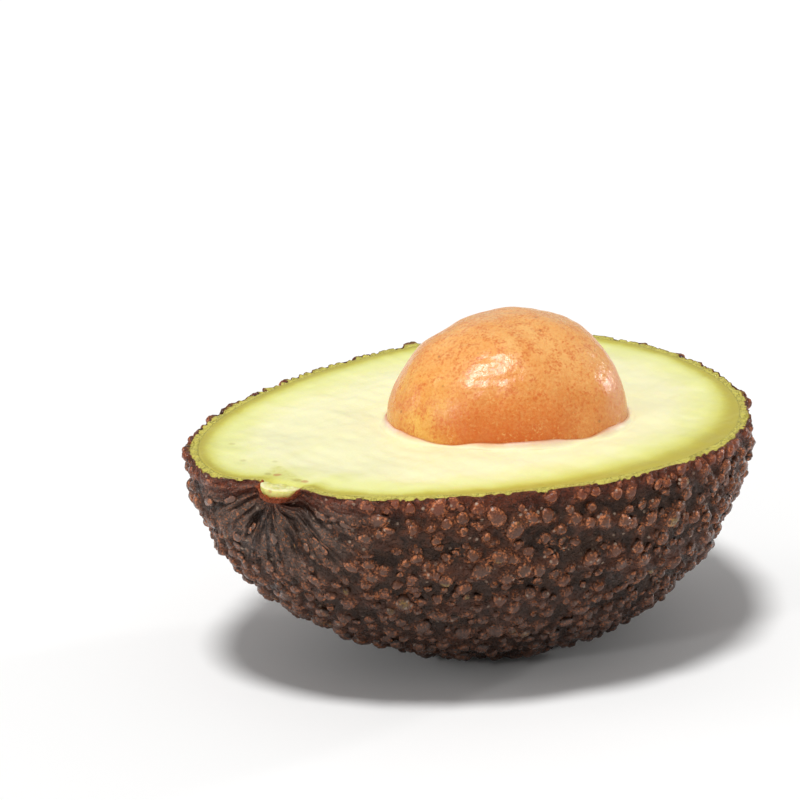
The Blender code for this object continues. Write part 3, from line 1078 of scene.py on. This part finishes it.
def stem_collar(fruit, stalk, points):
    """One where the rind's edge passes in front of the stalk's end, and nothing elsewhere."""
    along, across = along_and_across(fruit, points)
    return smooth_step(1.25, 1.0, np.abs(across) / stalk.stalk_half_width) * (along > -12 * MM)


def inner_wall(fruit, unit, lift):
    """Points inside the rind, held further in round the stem's dent so that they stay under it."""
    held_in = STEM_HOLD * bell(fruit.from_stem(unit), STEM_REACH, 4.0)
    return fruit.points(unit, lift, collar=False) - held_in[:, None] * unit


def leaning_down(turns, tilt):
    """Unit directions at each turn round the ball, this tilt away from straight down."""
    return np.column_stack((
        np.cos(turns) * math.sin(tilt),
        np.sin(turns) * math.sin(tilt),
        np.full(len(turns), -math.cos(tilt)),
    ))


def edge_rings(fruit, stalk, rim, inner, chips):
    """Rings from the rind's rim in over the cut, which waves finely and is chipped at the rim."""
    rings = []
    for part in EDGE_PARTS:
        ring = rim + part * (inner - rim)
        ring[:, 2] = -dip_under_stalk(fruit, stalk, ring) - chips * (1 - part)
        ring[:, 2] += 0.05 * MM * ripples(ring, 1.6 * MM, 51) * math.sin(math.pi * part)
        rings.append(ring)
    return rings


def wall_rings(fruit, rim_unit):
    """Rings down the rind's inner wall, under the rim's points."""
    turns = np.arctan2(rim_unit[:, 1], rim_unit[:, 0])
    return [inner_wall(fruit, leaning_down(turns, tilt), SKIN_INSIDE) for tilt in np.radians(WALL_TILTS)]


def build_skin(fruit, settings, stalk, pebbles, shift):
    """The rind's bowl: a grid over the outside, rings in over the cut edge and down the inner wall."""
    cells = settings.skin_cells
    unit = bowl_directions(cells, 1.0)
    height, share, near, rays = skin_height(fruit, settings, pebbles, unit)
    outside = fruit.points(unit, VALLEY) + height[:, None] * fruit.outward(unit)
    loop = square_edge(cells)
    chips = CHIP_DEPTH * np.clip(ripples(outside[loop], 2.0 * MM, 52), 0, 1)
    outside[loop, 2] = -chips
    at_stem = fruit.from_stem(unit) < STEM_REACH
    arc = stem_collar(fruit, stalk, outside) * smooth_step(-1.1 * MM, -0.6 * MM, outside[:, 2]) * at_stem
    dip = dip_under_stalk(fruit, stalk, outside) * at_stem
    outside[:, 2] -= dip * np.clip(1 + outside[:, 2] / (5 * MM), 0, 1)
    outside[:, 2] = np.maximum(outside[:, 2], -shift[2] + 0.02 * MM)

    rim = outside[loop]
    inner = fruit.points(unit[loop], SKIN_INSIDE)
    wall = wall_rings(fruit, unit[loop])
    rings = edge_rings(fruit, stalk, rim, inner, chips) + wall
    pole = inner_wall(fruit, np.array(((0.0, 0.0, -1.0),)), SKIN_INSIDE)
    parts = np.array(EDGE_PARTS)[:, None]
    width = np.linalg.norm((rim - inner)[:, :2], axis=1)
    deep = np.ones(len(wall) * len(loop) + 1)
    rind = ((height[loop] - parts * width) / MM).ravel()
    inward = (parts * width / MM).ravel()

    columns = len(loop)
    first = len(outside)
    count = len(rings)
    points = np.clip(np.vstack((outside, *rings, pole)) + shift, *np.array(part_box("skin")))
    edge_start = first + np.arange(columns)
    join = np.stack((loop, np.roll(loop, -1), np.roll(edge_start, -1), edge_start), axis=-1)
    quads = np.vstack((square_quads(cells), join, ring_quads(first, columns, count)))
    triangles = fan(first + columns * (count - 1), columns, first + columns * count, False)

    extra = columns * count + 1
    masks = {
        "mound": np.concatenate((share, np.zeros(extra))),
        "lift_mm": np.concatenate((height / MM, np.zeros(extra))),
        "stem_near": np.concatenate((near, np.zeros(extra))),
        "stem_rays": np.vstack((rays, np.zeros((extra, 3)))),
        "rind": np.concatenate((height / MM, rind, -1.5 * deep)),
        "inward_mm": np.concatenate((np.zeros(first), inward, 2.0 * deep)),
        "collar": np.concatenate((arc, np.tile(stem_collar(fruit, stalk, rim), count), (0.0,))),
        "on_cut": np.concatenate((np.zeros(first), np.ones(extra))),
    }
    return points, quads, triangles, masks


# Flesh


def outline_round(fruit, centre, turns, lift):
    """The cut's outline at each turn round the centre, and the ball's own angle there.

    The outline is drawn finely by the ball's angle, then looked up by its bearing from the centre.
    """
    angles = np.linspace(-math.pi, math.pi, 4001)
    circle = np.column_stack((np.cos(angles), np.sin(angles), np.zeros(len(angles))))
    arms = fruit.points(circle, lift) - centre
    bearing = np.unwrap(np.arctan2(arms[:, 1], arms[:, 0]))
    wrapped = np.concatenate((bearing - 2 * math.pi, bearing, bearing + 2 * math.pi))
    spread = np.concatenate((angles - 2 * math.pi, angles, angles + 2 * math.pi))
    found = np.interp(turns, wrapped, spread)
    edge = np.column_stack((np.cos(found), np.sin(found), np.zeros(len(found))))
    return fruit.points(edge, lift), found


def hollow_ring(pit, turns, tilt, gap):
    """Points just outside the pit at this tilt above its middle, one for each turn round it."""
    headings = np.column_stack((
        np.cos(tilt) * np.cos(turns),
        np.cos(tilt) * np.sin(turns),
        np.sin(tilt) * np.ones(len(turns)),
    ))
    return pit.centre + (pit.reach(headings) + gap)[:, None] * headings


def hollow_rings(pit, turns, level):
    """Rings down the hollow, from under the lip at this level to near its bottom."""
    rings = []
    for number, tilt in enumerate(np.linspace(level, -math.pi / 2, 16)[1:-1]):
        gap = min(HOLLOW_GAP, HOLLOW_EASE * (number + 1)) - HOLLOW_LAP
        rings.append(hollow_ring(pit, turns, tilt, gap))
    return rings


def strand_mask(fruit, stalk, points):
    """One over the strand that runs from the stalk into the flesh, a cone in plan that ends in a point."""
    along, across = along_and_across(fruit, points)
    start = np.array((-stalk.stalk_inset, 0.0))
    tip = np.array(stalk.strand_tip)
    heading = (tip - start) / np.linalg.norm(tip - start)
    arms = np.column_stack((along, across)) - start
    part = arms @ heading / np.linalg.norm(tip - start)
    aside = np.abs(arms @ (-heading[1], heading[0]))
    half_width = stalk.stalk_half_width * np.clip(1 - part, 0, 1) ** 0.8 + 0.1 * MM
    return smooth_step(1.25, 0.8, aside / half_width) * smooth_step(1.05, 0.9, part) * (part > -0.4)


def build_flesh(fruit, pit, settings, stalk, shift):
    """The flesh: from its underside up the outside, in over the cut to the lip, and down the pit's hollow.

    The cut waves slowly, dips under the stalk's end, and rises by a bell curve into the lip round the pit.
    """
    columns = settings.flesh_columns
    turns = np.linspace(-math.pi, math.pi, columns, endpoint=False)
    outline, found = outline_round(fruit, np.array((pit.centre[0], pit.centre[1], 0.0)), turns, FLESH_OUTSIDE)
    rings = [
        inner_wall(fruit, leaning_down(found, tilt), FLESH_OUTSIDE)
        for tilt in np.linspace(0, math.pi / 2, 14)[1:-1]
    ]
    outer_count = len(rings)

    level = np.arcsin(np.clip(-pit.centre[2] / pit.half_sizes[1], -1, 1))
    hole = hollow_ring(pit, turns, level, -HOLLOW_LAP)
    hole[:, 2] = 0.0
    lip = settings.lip_width
    span = np.linalg.norm(outline - hole, axis=1)
    steps = np.concatenate((
        np.linspace(0.0, 1.0, 76)[:, None] * (span - lip)[None, :],
        span - lip * (1 - np.linspace(0, 1, 13)[1:, None] ** 0.8),
    ))
    ragged = 0.72 + 0.22 * ripples(hole, 11 * MM, 61) + 0.05 * ripples(hole, 4 * MM, 62)
    lines_round = np.clip(0.5 * ripples(hole, 7 * MM, 65), 0.0, 0.7)
    cut_rings = []
    lips = []
    seams = []
    strands = []
    for step in steps:
        ring = outline + (step / span)[:, None] * (hole - outline)
        from_hole = span - step
        raised = np.clip(ragged, 0.2, 1.3) * bell(np.maximum(from_hole - 0.35 * MM, 0), 0.40 * MM)
        edge_fade = smooth_step(0.0, 1.5 * MM, step) * smooth_step(0.0, 1.0 * MM, from_hole)
        waves = 0.10 * MM * ripples(ring, 9 * MM, 63) + 0.03 * MM * ripples(ring, 2.2 * MM, 64)
        ring[:, 2] = waves * edge_fade + settings.lip_height * raised
        ring[:, 2] -= 0.7 * MM * under_stalk(fruit, stalk, ring)
        cut_rings.append(ring)
        lips.append(np.clip(1.2 * raised, 0, 1))
        line = lines_round * bell(from_hole - 1.15 * MM, 0.14 * MM)
        seams.append(np.maximum(smooth_step(0.50 * MM, 0.25 * MM, from_hole), line))
        strands.append(strand_mask(fruit, stalk, ring))
    hollow = hollow_rings(pit, turns, level)
    rings += cut_rings + hollow
    below = inner_wall(fruit, np.array(((0.0, 0.0, -1.0),)), FLESH_OUTSIDE)
    bottom = hollow_ring(pit, np.zeros(1), -math.pi / 2, HOLLOW_GAP)

    points = np.vstack((*rings, below, bottom)) + shift
    quads, triangles = turned_faces(columns, len(rings))
    outside = np.zeros(outer_count * columns)
    inside = np.zeros(len(hollow) * columns)
    masks = {
        "edge_mm": np.concatenate((outside, (steps / MM).ravel(), inside + 12.0, (0.0, 12.0))),
        "coat": np.concatenate((outside, np.concatenate(lips), inside + 0.6, (0.0, 0.6))),
        "seam": np.concatenate((outside, np.concatenate(seams), inside + 1.0, (0.0, 1.0))),
        "strand": np.concatenate((outside, np.concatenate(strands), inside, (0.0, 0.0))),
    }
    return points, quads, triangles, masks


# Pit and stalk


def ball_rings(columns, rings):
    """Unit directions in rings from the bottom to the top of the ball, and its two poles."""
    tilts = np.linspace(-math.pi / 2, math.pi / 2, rings + 2)[1:-1]
    turns = np.linspace(0, 2 * math.pi, columns, endpoint=False)
    tilt, turn = np.meshgrid(tilts, turns, indexing="ij")
    unit = np.column_stack((
        (np.cos(tilt) * np.cos(turn)).ravel(),
        (np.cos(tilt) * np.sin(turn)).ravel(),
        np.sin(tilt).ravel(),
    ))
    return np.vstack((unit, (0.0, 0.0, -1.0), (0.0, 0.0, 1.0)))


def patch_mask(patch, arms, ragged):
    """One where this patch of the pit is full, with a ragged edge. The arms run from the pit's middle."""
    way, start, full = patch
    return smooth_step(start, full, arms @ np.array(way) + ragged)


def build_pit(pit, settings, shift):
    """The egg with slow lumps, and a thin layer of seed coat left on its top, a little proud and ragged; its
    pale colour is partly painted rim sheen.
    """
    columns, rings = settings.pit_columns, settings.pit_columns // 2
    unit = ball_rings(columns, rings)
    smooth = pit.points(unit)
    outward = unit_rows(smooth - pit.centre)
    lumps = 0.10 * MM * ripples(smooth, 9 * MM, 71) + 0.020 * MM * ripples(smooth, 1.9 * MM, 72)
    above = smooth[:, 2] / MM
    ragged = 1.5 * ripples(smooth, 8 * MM, 73) + 0.5 * ripples(smooth, 2.0 * MM, 74)
    arms = (smooth - pit.centre) / MM
    seed_film_and_rim_sheen = patch_mask(FILM_AND_RIM_SHEEN_PATCH, arms, ragged)
    amber = patch_mask(AMBER_PATCH, arms, ragged)
    # Painted light on one side of the pit.
    pale = patch_mask(PAINTED_LIGHT_PATCH, arms, ragged)
    lift = (lumps - 0.10 * MM) * smooth_step(0.5, 5.0, above) + 0.03 * MM * seed_film_and_rim_sheen
    points = smooth + lift[:, None] * outward + shift
    quads, triangles = turned_faces(columns, rings)
    return points, quads, triangles, {"seed_film_and_rim_sheen": seed_film_and_rim_sheen, "amber": amber, "pale": pale, "height_mm": above}


def build_stalk(fruit, settings, shift):
    """The stalk's cut end: a spheroid's lower half, rounded over at the cut, which is torn in fine waves.

    Below the cut a ring at tilt t has the share cos t of the width and lies sin t half widths down.
    """
    columns = 120
    turns = np.linspace(0, 2 * math.pi, columns, endpoint=False)
    forward = fruit.stem_outward
    sideways = np.cross((0.0, 0.0, 1.0), forward)
    centre = fruit.stem_foot - settings.stalk_inset * forward
    half = np.array((settings.stalk_half_length, settings.stalk_half_width))
    flat = np.cos(turns)[:, None] * forward * half[0] + np.sin(turns)[:, None] * sideways * half[1]
    tilts = np.concatenate((np.linspace(-1.45, -0.40, 9), np.linspace(-0.34, -0.15, 5)))
    rings = [centre + math.cos(tilt) * flat + (0.0, 0.0, half[1] * math.sin(tilt)) for tilt in tilts]
    shares = np.concatenate((np.linspace(0.985, 0.88, 5), np.linspace(0.82, 0.05, 16)))
    for share in shares:
        ring = centre + share * flat
        waves = 0.07 * MM * ripples(ring, 1.4 * MM, 81) * smooth_step(1.0, 0.8, share)
        sunk_behind = 0.45 * MM * smooth_step(0.25, -0.45, share * np.cos(turns))
        ring[:, 2] = waves - 0.10 * MM * smooth_step(0.90, 1.0, share) - sunk_behind
        rings.append(ring)
    points = np.vstack((*rings, centre - (0.0, 0.0, half[1]), centre)) + shift
    quads, triangles = turned_faces(columns, len(rings))
    across_cut = np.concatenate((np.full(len(tilts), 1.5), shares))
    masks = {
        "out_share": np.append(np.repeat(across_cut, columns), (1.5, 0.0)),
        "front": np.append(np.tile(smooth_step(0.0, 0.5, np.cos(turns)), len(rings)), (1.0, 0.0)),
    }
    return points, quads, triangles, masks


# Settings


def length(name, description, default):
    return FloatProperty(
        name=name, description=description, default=default, subtype="DISTANCE", unit="LENGTH"
    )


def share(name, description, default):
    return FloatProperty(name=name, description=description, default=default)


def angle(name, description, degrees):
    return FloatProperty(name=name, description=description, default=math.radians(degrees), subtype="ANGLE")


def colour(name, description, default):
    return FloatVectorProperty(
        name=name, description=description, default=default, subtype="COLOR", size=3, min=0.0, max=1.0
    )


class FormSettings(bpy.types.PropertyGroup):
    """The smooth form of the fruit and of its pit."""

    half_length: length("Half Length", "Middle of the fruit to either end", 47.2 * MM)
    half_width: length("Half Width", "Middle of the cut face to its side", 35.8 * MM)
    half_depth: length("Half Depth", "Cut face to the underside", 35.5 * MM)
    taper: share("Taper", "Share of width gained toward the blossom end", 0.11)
    bend_slope: length("Bend Slope", "Lean of the middle line in plan", -1.8 * MM)
    bend_arch: length("Bend Arch", "Curve of the middle line in plan", 6.6 * MM)
    bend_twist: length("Bend Twist", "Lopsided part of the middle line in plan", 2.2 * MM)
    stem_angle: angle("Stem Angle", "Where the stem is, round from the blossom end", 190.5)
    dent_depth: length("Dent Depth", "How far the stem's dent is sunk", 5.0 * MM)
    dent_radius: length("Dent Radius", "How wide the stem's dent is", 5.8 * MM)
    collar_height: length("Collar Height", "How far the collar rises out of the dent", 4.45 * MM)
    collar_radius: length("Collar Radius", "How wide the collar is", 3.0 * MM)
    pit_centre: FloatVectorProperty(
        name="Pit Centre", description="Middle of the pit", default=(3.1 * MM, -4.75 * MM, -0.35 * MM),
        subtype="TRANSLATION", unit="LENGTH",
    )
    pit_half_length: length("Pit Half Length", "Half of the pit's length", 18.5 * MM)
    pit_half_width: length("Pit Half Width", "Half of the pit's width", 16.3 * MM)
    pit_taper: share("Pit Taper", "Share of width gained toward the blunt end", 0.16)
    pit_yaw: angle("Pit Yaw", "Turn of the pit in plan", -16)
    pit_dip: angle("Pit Dip", "How far the pit's blunt end is down", 12)


class SkinSettings(bpy.types.PropertyGroup):
    """Pebbles and colours of the rind."""

    skin_cells: IntProperty(name="Grid", description="Cells along each side of the grid", default=284, min=40)
    pebble_size: share("Pebble Size", "Factor on the pebbles' radii", 1.0)
    pebble_height: length("Pebble Height", "Height of a middling pebble", 1.05 * MM)
    # Valley: the dark between the pebbles, partly the rind's colour and partly painted shade; painted shade
    # elsewhere darkens toward it.
    valley_and_shade_colour: colour("Valley", "Between the pebbles", (0.015, 0.006, 0.003))
    wax_colour: colour("Wax", "Wax bloom between the pebbles", (0.068, 0.032, 0.019))
    # Pale creases: partly the rind's colour, partly painted glints on the wrinkles.
    crease_and_glint_colour: colour("Line", "Fine pale creases between the pebbles", (0.160, 0.110, 0.080))
    pebble_colour: colour("Pebble", "Brown of the pebbles", (0.058, 0.023, 0.012))
    pebble_red: colour("Pebble Red", "Redder pebbles", (0.112, 0.035, 0.016))
    pebble_tip: colour("Pebble Tip", "Paler grain on the pebbles", (0.290, 0.120, 0.060))
    ring_colour: colour("Ring", "Orange edges of the pebbles", (0.620, 0.200, 0.070))
    fleck_colour: colour("Fleck", "Olive flecks on the pebbles", (0.280, 0.200, 0.040))
    # Pale flecks of wax, partly painted glints.
    wax_and_glint_flecks: colour("Wax Flecks", "Small pale flecks of wax", (0.420, 0.300, 0.220))
    stem_grey: colour("Stem Grey", "Greyer rind near the stem", (0.140, 0.096, 0.076))
    cut_red: colour("Cut Red", "Cut through the rind's outer layer", (0.240, 0.045, 0.016))
    cut_brown: colour("Cut Brown", "Darker grain of the cut rind", (0.090, 0.025, 0.012))
    collar_red: colour("Collar Red", "Rind's edge in front of the stalk's end", (0.480, 0.110, 0.035))
    cut_olive: colour("Cut Olive", "Cut through the rind's inner layer", (0.520, 0.440, 0.090))
    cut_yellow: colour("Cut Yellow", "Inner layer next to the flesh", (0.660, 0.600, 0.120))


class FleshSettings(bpy.types.PropertyGroup):
    """Colours of the flesh, and the lip of seed coat round the pit."""

    flesh_columns: IntProperty(name="Columns", description="Points in each ring", default=560, min=60)
    lip_width: length("Lip Width", "Width of the band that the lip rises from", 1.8 * MM)
    lip_height: length("Lip Height", "Height of the lip round the pit", 0.85 * MM)
    cream_flesh: colour("Cream", "Middle of the cut face", (0.945, 0.915, 0.560))
    green_flesh: colour("Green", "Toward the rind", (0.830, 0.840, 0.330))
    edge_flesh: colour("Edge", "Next to the rind", (0.640, 0.610, 0.085))
    vein_flesh: colour("Vein", "Band along the rind", (0.480, 0.400, 0.055))
    fibre_flesh: colour("Fibre", "Streaks along the fruit", (0.780, 0.770, 0.280))
    strand_flesh: colour("Strand", "Strand from the stalk into the flesh", (0.660, 0.640, 0.130))
    rust_flesh: colour("Rust", "Small reddish spots", (0.560, 0.200, 0.060))
    speck_flesh: colour("Speck", "Small bruised specks", (0.400, 0.330, 0.050))
    seam_colour: colour("Seam", "Thin brown lines along both sides of the lip", (0.560, 0.230, 0.080))
    coat_colour: colour("Seed Coat", "Pale lip round the pit", (0.940, 0.720, 0.580))
    coat_brown: colour("Seed Coat Brown", "Browner lip round the pit", (0.700, 0.330, 0.130))


class PitSettings(bpy.types.PropertyGroup):
    """Colours of the pit."""

    pit_columns: IntProperty(name="Columns", description="Points round the pit", default=300, min=40)
    pit_orange: colour("Orange", "Main colour", (0.780, 0.270, 0.045))
    pit_light: colour("Light", "Paler patches", (0.880, 0.480, 0.160))
    # Red also paints the base, partly as painted shade.
    pit_red: colour("Red", "Darker grain and base", (0.620, 0.120, 0.012))
    pit_amber: colour("Amber", "Yellower patch low on one side", (0.860, 0.500, 0.110))
    pit_speck: colour("Speck", "Small dark specks", (0.200, 0.050, 0.012))
    # Seed coat on top, partly painted rim sheen.
    film_and_rim_sheen_colour: colour("Film", "Seed coat left on top", (0.900, 0.600, 0.320))


class StalkSettings(bpy.types.PropertyGroup):
    """Size and colours of the stalk's cut end."""

    stalk_inset: length("Inset", "Middle of the stalk behind the rind's smooth form", 4.2 * MM)
    stalk_half_length: length("Half Length", "Half of its length along the stem", 2.75 * MM)
    stalk_half_width: length("Half Width", "Half of its width", 3.15 * MM)
    rind_dip: length("Rind Dip", "How far the rind is pulled down in front of it", 1.2 * MM)
    strand_tip: FloatVectorProperty(
        name="Strand Tip", description="End of its strand in the flesh, outwards and sideways from the stem",
        default=(-11.5 * MM, -4.9 * MM), size=2, subtype="XYZ", unit="LENGTH",
    )
    stalk_colour: colour("Wood", "Cut wood", (0.600, 0.570, 0.130))
    stalk_pale: colour("Pale Wood", "Paler fibres", (0.860, 0.820, 0.400))
    stalk_rust: colour("Rust", "Rusty specks", (0.480, 0.190, 0.060))
    stalk_edge: colour("Edge", "Pale edge of the cut", (0.920, 0.860, 0.560))
    stalk_side: colour("Side", "Green side below the cut", (0.780, 0.740, 0.230))


class StageSettings(bpy.types.PropertyGroup):
    """Floor, light and camera."""

    floor_colour: colour("Floor", "Board under the fruit", (0.96, 0.96, 0.955))
    azimuth: angle("Azimuth", "Camera's way round the fruit", -50)
    elevation: angle("Elevation", "Camera's height above the fruit", 17.3)
    distance: length("Distance", "Camera to the middle of the cut face", 0.590)
    aim_right: length("Aim Right", "How far right of the middle the camera looks", -9.64 * MM)
    aim_up: length("Aim Up", "How far above the middle the camera looks", 1.96 * MM)
    lens: FloatProperty(name="Lens", description="Focal length in millimetres", default=178.95)


# Operators


def shared_form(context):
    form = context.scene.avocado_form
    fruit = Fruit(form)
    pit = Pit(form)
    return fruit, pit, row_shift(pit)


class AVOCADO_OT_skin(bpy.types.Operator):
    """Adds the rind with its cut edge, and the pebbles on it"""

    bl_idname = "avocado.skin"
    bl_label = "Add Skin"

    def execute(self, context):
        settings = context.scene.avocado_skin
        fruit, _, shift = shared_form(context)
        stalk = context.scene.avocado_stalk
        pebbles = Pebbles(fruit, settings, PEBBLE_KINDS, PEBBLE_SEED, MERGING_SHARE)
        points, quads, triangles, masks = build_skin(fruit, settings, stalk, pebbles, shift)
        add_piece("rind", points, quads, triangles, skin_material(settings), masks, "skin")
        points, quads, triangles, masks = build_pebbles(fruit, pebbles, shift)
        add_piece("pebbles", points, quads, triangles, pebble_material(settings), masks, "skin")
        return {"FINISHED"}


class AVOCADO_OT_flesh(bpy.types.Operator):
    """Adds the cut flesh with the pit's hollow and the lip round it"""

    bl_idname = "avocado.flesh"
    bl_label = "Add Flesh"

    def execute(self, context):
        settings = context.scene.avocado_flesh
        fruit, pit, shift = shared_form(context)
        stalk = context.scene.avocado_stalk
        points, quads, triangles, masks = build_flesh(fruit, pit, settings, stalk, shift)
        material = flesh_material(settings, shift)
        add_piece("cut_flesh", points, quads, triangles, material, masks, "flesh")
        return {"FINISHED"}


class AVOCADO_OT_pit(bpy.types.Operator):
    """Adds the wet pit"""

    bl_idname = "avocado.pit"
    bl_label = "Add Pit"

    def execute(self, context):
        settings = context.scene.avocado_pit
        _, pit, shift = shared_form(context)
        points, quads, triangles, masks = build_pit(pit, settings, shift)
        add_piece("wet_pit", points, quads, triangles, pit_material(settings), masks, "pit")
        return {"FINISHED"}


class AVOCADO_OT_stalk(bpy.types.Operator):
    """Adds the stalk's cut end at the rim"""

    bl_idname = "avocado.stalk"
    bl_label = "Add Stalk End"

    def execute(self, context):
        settings = context.scene.avocado_stalk
        fruit, _, shift = shared_form(context)
        points, quads, triangles, masks = build_stalk(fruit, settings, shift)
        add_piece("stalk_end", points, quads, triangles, stalk_material(settings), masks, "stem_plug")
        return {"FINISHED"}


def add_light(name, towards, spread, strength):
    """A far soft light from this direction, as wide in the sky as spread."""
    data = bpy.data.lights.new(name, "SUN")
    data.angle = math.radians(spread)
    data.energy = strength
    light = bpy.data.objects.new(name, data)
    light.rotation_euler = Vector(towards).to_track_quat("Z", "Y").to_euler()
    bpy.context.scene.collection.objects.link(light)


def add_floor(settings):
    reach = 6.0
    mesh = bpy.data.meshes.new("floor")
    corners = [(-reach, -reach, 0), (reach, -reach, 0), (reach, reach, 0), (-reach, reach, 0)]
    mesh.from_pydata(corners, [], [(0, 1, 2, 3)])
    mesh.materials.append(floor_material(settings))
    floor = bpy.data.objects.new("floor", mesh)
    bpy.context.scene.collection.objects.link(floor)


def add_camera(settings, middle):
    """Looks from the azimuth and elevation at a point beside the middle of the cut face."""
    around, above = settings.azimuth, settings.elevation
    towards = Vector((
        math.sin(around) * math.cos(above),
        -math.cos(around) * math.cos(above),
        math.sin(above),
    ))
    right = Vector((math.cos(around), math.sin(around), 0.0))
    up = towards.cross(right)
    place = middle + settings.distance * towards
    aim = middle + settings.aim_right * right + settings.aim_up * up
    data = bpy.data.cameras.new("camera")
    data.lens = settings.lens
    data.clip_start = 0.01
    camera = bpy.data.objects.new("camera", data)
    camera.location = place
    camera.rotation_euler = (place - aim).to_track_quat("Z", "Y").to_euler()
    bpy.context.scene.collection.objects.link(camera)
    bpy.context.scene.camera = camera


class AVOCADO_OT_stage(bpy.types.Operator):
    """Adds the pale floor, the soft lights and the camera"""

    bl_idname = "avocado.stage"
    bl_label = "Add Stage"

    def execute(self, context):
        settings = context.scene.avocado_stage
        _, _, shift = shared_form(context)
        middle = Vector(shift)
        add_floor(settings)
        for light in LIGHTS:
            add_light(*light)
        world = bpy.data.worlds.new("studio")
        world.use_nodes = True
        background = world.node_tree.nodes["Background"]
        background.inputs["Color"].default_value = (1.0, 1.0, 1.0, 1.0)
        background.inputs["Strength"].default_value = WORLD_STRENGTH
        context.scene.world = world
        context.scene.view_settings.view_transform = "Standard"
        add_camera(settings, middle)
        return {"FINISHED"}


class AVOCADO_PT_panel(bpy.types.Panel):
    """Lists the pieces and their settings"""

    bl_idname = "AVOCADO_PT_panel"
    bl_label = "Avocado Half"
    bl_space_type = "VIEW_3D"
    bl_region_type = "UI"
    bl_category = "Avocado"

    def draw(self, context):
        layout = self.layout
        for kind in OPERATORS:
            layout.operator(kind.bl_idname)
        for name in SETTINGS:
            group = getattr(context.scene, name)
            box = layout.box()
            for key in group.bl_rna.properties.keys():
                if key not in ("rna_type", "name"):
                    box.prop(group, key)


SETTINGS = {
    "avocado_form": FormSettings,
    "avocado_skin": SkinSettings,
    "avocado_flesh": FleshSettings,
    "avocado_pit": PitSettings,
    "avocado_stalk": StalkSettings,
    "avocado_stage": StageSettings,
}
OPERATORS = (AVOCADO_OT_skin, AVOCADO_OT_flesh, AVOCADO_OT_pit, AVOCADO_OT_stalk, AVOCADO_OT_stage)


def register():
    for kind in (*SETTINGS.values(), *OPERATORS, AVOCADO_PT_panel):
        bpy.utils.register_class(kind)
    for name, kind in SETTINGS.items():
        setattr(bpy.types.Scene, name, PointerProperty(type=kind))


def unregister():
    for name in SETTINGS:
        delattr(bpy.types.Scene, name)
    for kind in (AVOCADO_PT_panel, *reversed(OPERATORS), *reversed(SETTINGS.values())):
        bpy.utils.unregister_class(kind)


def main():
    register()
    build_groups()
    bpy.ops.avocado.skin()
    bpy.ops.avocado.flesh()
    bpy.ops.avocado.pit()
    bpy.ops.avocado.stalk()
    bpy.ops.avocado.stage()


if __name__ == "__main__":
    main()
